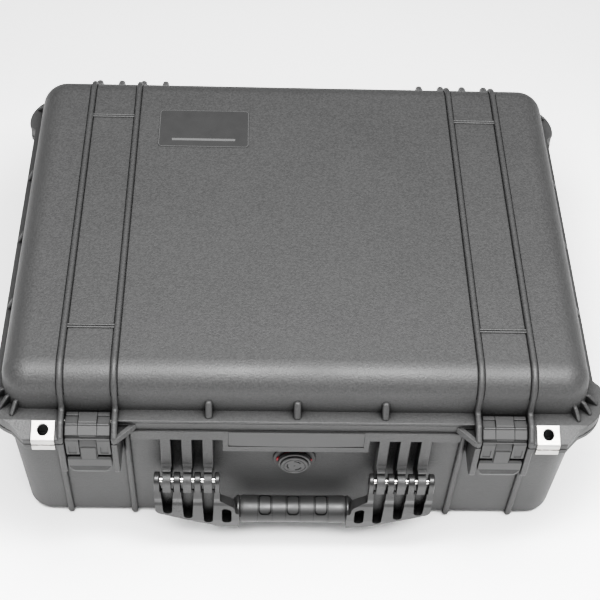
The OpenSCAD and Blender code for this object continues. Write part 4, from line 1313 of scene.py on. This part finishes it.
def make_label():
    start, end = low("lid_label"), high("lid_label")
    size = (end.x - start.x, end.y - start.y)
    centre = ((start.x + end.x) / 2, (start.y + end.y) / 2)
    corner = 4.0
    outline = [(centre[0] + x, centre[1] + y) for x, y in rounded_rect(*size, corner, 8)]
    film = printed_label("label_film", centre, size, corner)
    data = prism("XY", outline, start.z, end.z, 0.2, 2)
    piece("lid_label_film", data, "lid", film, ["lid_label"])


# ------------------------------------------------------------------------ foam

def foam_block(w, d, radius, start, end):
    """A soft block with rounded corners and slightly crowned sides."""
    outline = rounded_rect(w, d, radius, 8)
    levels = ((6.0, start), (2.0, start), (0.6, start + 0.8), (0.0, start + 3),
              (0.0, end - 3), (0.6, end - 0.8), (2.0, end), (6.0, end))
    return loft([[(x, y, z) for x, y in offset(outline, -inset)] for inset, z in levels])


def score_lines(start, end, pitch, depth):
    """V grooves along both axes of the top face, where foam is pre-cut into plucking cubes."""
    tools = []
    half, z = 1.1, end.z
    for plane, a0, a1, b0, b1 in (("XZ", start.x, end.x, start.y, end.y),
                                  ("YZ", start.y, end.y, start.x, end.x)):
        count = round((a1 - a0) / pitch)
        for k in range(1, count):
            a = a0 + (a1 - a0) * k / count
            groove = [(a - half, z + PAST), (a, z - depth), (a + half, z + PAST)]
            tools.append(prism(plane, groove, b0, b1))
    return tools


def convoluted_pad(start, end, radius, pitch, base_t):
    """The lid's pad: flat against the lid, with rows of soft peaks facing down."""
    size, centre = end - start, (start + end) / 2
    nx, ny = int(size.x / pitch * 8), int(size.y / pitch * 8)
    tall = size.z - base_t
    count = nx + 1

    def past_straights(x, y):
        """How far a point is beyond the straight parts of the outline, in x and in y."""
        return (abs(x - centre.x) - (size.x / 2 - radius),
                abs(y - centre.y) - (size.y / 2 - radius))

    def pulled(x, y):
        """The nearest point within the rounded outline."""
        dx, dy = past_straights(x, y)
        far = math.hypot(dx, dy)
        if dx > 0 and dy > 0 and far > radius:
            x = centre.x + math.copysign(size.x / 2 - radius + dx * radius / far, x - centre.x)
            y = centre.y + math.copysign(size.y / 2 - radius + dy * radius / far, y - centre.y)
        return x, y

    def depth(x, y):
        """Thickness of the pad at a point; it falls to its base near the outline."""
        dx, dy = past_straights(x, y)
        inside = radius - math.hypot(max(dx, 0), max(dy, 0)) - min(max(dx, dy), 0)
        wave = 0.5 + 0.25 * (math.cos(math.tau * x / pitch) + math.cos(math.tau * y / pitch))
        rim = min(1.0, max(0.0, inside / 8))
        return base_t + tall * (0.12 + 0.86 * wave ** 1.3) * rim ** 0.5

    verts = []
    for j in range(ny + 1):
        for i in range(count):
            x, y = pulled(start.x + size.x * i / nx, start.y + size.y * j / ny)
            verts.append((x, y, end.z - depth(x, y)))
    corners = [j * count + i for j in range(ny) for i in range(nx)]
    faces = [(a, a + count, a + count + 1, a + 1) for a in corners]
    rim = (list(range(count)) + [j * count + nx for j in range(1, ny + 1)]
           + [ny * count + i for i in range(nx - 1, -1, -1)]
           + [j * count for j in range(ny - 1, 0, -1)])
    first = len(verts)
    verts += [(*verts[index][:2], end.z) for index in rim]
    for k, index in enumerate(rim):
        n = (k + 1) % len(rim)
        faces.append((index, rim[n], first + n, first + k))
    faces.append(tuple(first + k for k in reversed(range(len(rim)))))
    return mesh(verts, faces)


def soften(item, cell_mm, ripple_mm):
    """Turns a foam piece into a dense, relaxed skin with a slightly uneven surface."""
    skin = item.modifiers.new("skin", "REMESH")
    skin.mode = "VOXEL"
    skin.voxel_size = cell_mm * MM
    skin.use_smooth_shade = True
    relax = item.modifiers.new("relax", "SMOOTH")
    relax.factor, relax.iterations = 0.5, 3
    clouds = bpy.data.textures.new("foam_ripple", "CLOUDS")
    clouds.noise_scale = 20 * MM
    swell = item.modifiers.new("swell", "DISPLACE")
    swell.texture = clouds
    swell.strength = ripple_mm * MM


def make_foam():
    """The foam lining: floor pad, walls and the convoluted pad in the lid."""
    start, end = low("floor_foam"), high("floor_foam")
    pad = foam_block(end.x - start.x, end.y - start.y, FOAM_R, start.z, end.z)
    floor = piece("floor_foam_pad", pad, "base", FOAM, ["floor_foam"])
    start, end = low("liner_front"), high("liner_back")
    wall = high("liner_front").y - start.y
    block = foam_block(end.x - start.x, end.y - start.y, FOAM_R, start.z, end.z)
    hollow = rounded(rect(start.x + wall, start.y + wall, end.x - wall, end.y - wall), 4)
    cuts = [prism("XY", hollow, start.z - 5, end.z + 5), *score_lines(start, end, 15, 4)]
    liner = piece("liner_foam_wall", combined(block, cut=cuts), "base", FOAM,
                  ["liner_front", "liner_back", "liner_left", "liner_right"])
    pad = convoluted_pad(low("lid_foam"), high("lid_foam"), FOAM_R, 38.0, 16.0)
    lid_pad = piece("lid_foam_pad", pad, "lid", FOAM, ["lid_foam"])
    for item in (floor, liner, lid_pad):
        soften(item, 1.8, 0.5)


# ------------------------------------------------------------------ camera and studio

def aim(location, yaw, pitch, roll):
    """World matrix of a camera: yaw from +Y towards +X, pitch above the horizon, degrees."""
    a, e, r = (math.radians(v) for v in (yaw, pitch, roll))
    forward = Vector((math.sin(a) * math.cos(e), math.cos(a) * math.cos(e), math.sin(e)))
    right = forward.cross(Vector((0, 0, 1))).normalized()
    up = right.cross(forward)
    axis_x = math.cos(r) * right + math.sin(r) * up
    axis_y = -math.sin(r) * right + math.cos(r) * up
    turn = Matrix((axis_x, axis_y, -forward)).transposed().to_4x4()
    return Matrix.Translation(location) @ turn


def make_camera():
    data = bpy.data.cameras.new("camera")
    data.sensor_width = 36.0
    data.lens = 81.876
    data.clip_start, data.clip_end = 0.05, 20.0
    camera = bpy.data.objects.new("camera", data)
    camera.matrix_world = aim(Vector((-0.04136, -0.85557, 1.10606)), 3.2894, -49.8230, 3.3027)
    bpy.context.scene.collection.objects.link(camera)
    bpy.context.scene.camera = camera


def area_light(name, place, target, size, power, color=(1.0, 1.0, 1.0)):
    data = bpy.data.lights.new(name, "AREA")
    data.shape = "RECTANGLE"
    data.size, data.size_y = size
    data.energy = power
    data.color = color
    lamp = bpy.data.objects.new(name, data)
    lamp.location = place
    lamp.rotation_euler = (Vector(target) - Vector(place)).to_track_quat("-Z", "Y").to_euler()
    bpy.context.scene.collection.objects.link(lamp)


def make_studio():
    """A pale floor, two soft boxes overhead, and a weaker fill from the front."""
    half = 6000.0
    floor_z = cad_bounds[0].z / MM
    ground = mesh([(x, y, floor_z) for x, y in rect(-half, -half, half, half)], [(0, 1, 2, 3)])
    floor = bpy.data.objects.new("studio_floor", ground)
    ground.materials.append(studio_floor("studio_floor"))
    bpy.context.scene.collection.objects.link(floor)
    world = bpy.data.worlds.new("studio")
    bpy.context.scene.world = world
    world.use_nodes = True
    sky = world.node_tree.nodes["Background"]
    sky.inputs["Color"].default_value = (0.93, 0.95, 1.0, 1.0)
    sky.inputs["Strength"].default_value = 0.06
    aimed_at = (0, 0, 0.1)
    # Places and sizes in metres, power in watts
    area_light("key", (0.1, -0.62, 1.87), aimed_at, (1.9, 1.0), 118)
    area_light("overhead", (0.1, 0.35, 1.9), aimed_at, (1.8, 0.9), 22)
    area_light("front", (0.0, -1.45, 1.35), aimed_at, (1.6, 0.35), 8)


def make_tone_curve():
    """A film-like shoulder: dark tones stay linear, and the overlit floor stays below white."""
    view = bpy.context.scene.view_settings
    view.view_transform = "Standard"
    view.use_curve_mapping = True
    mapping = view.curve_mapping
    white = 3.0
    mapping.white_level = (white, white, white)
    all_channels = mapping.curves[3]
    straight_up_to = 0.3
    for scene_value, shown in ((straight_up_to, straight_up_to), (0.6, 0.56), (1.0, 0.72),
                               (2.0, 0.82), (2.6, 0.92)):
        all_channels.points.new(scene_value / white, shown)
    all_channels.points[-1].location.y = 0.96
    for point in all_channels.points:
        straight = point.location.x <= straight_up_to / white
        point.handle_type = "VECTOR" if straight else "AUTO_CLAMPED"
    mapping.update()


make_camera()
make_studio()
make_tone_curve()
make_shells()
make_seal()
make_clips()
make_latches()
make_pins()
make_handle()
make_vent()
make_name_panel()
make_label()
make_foam()
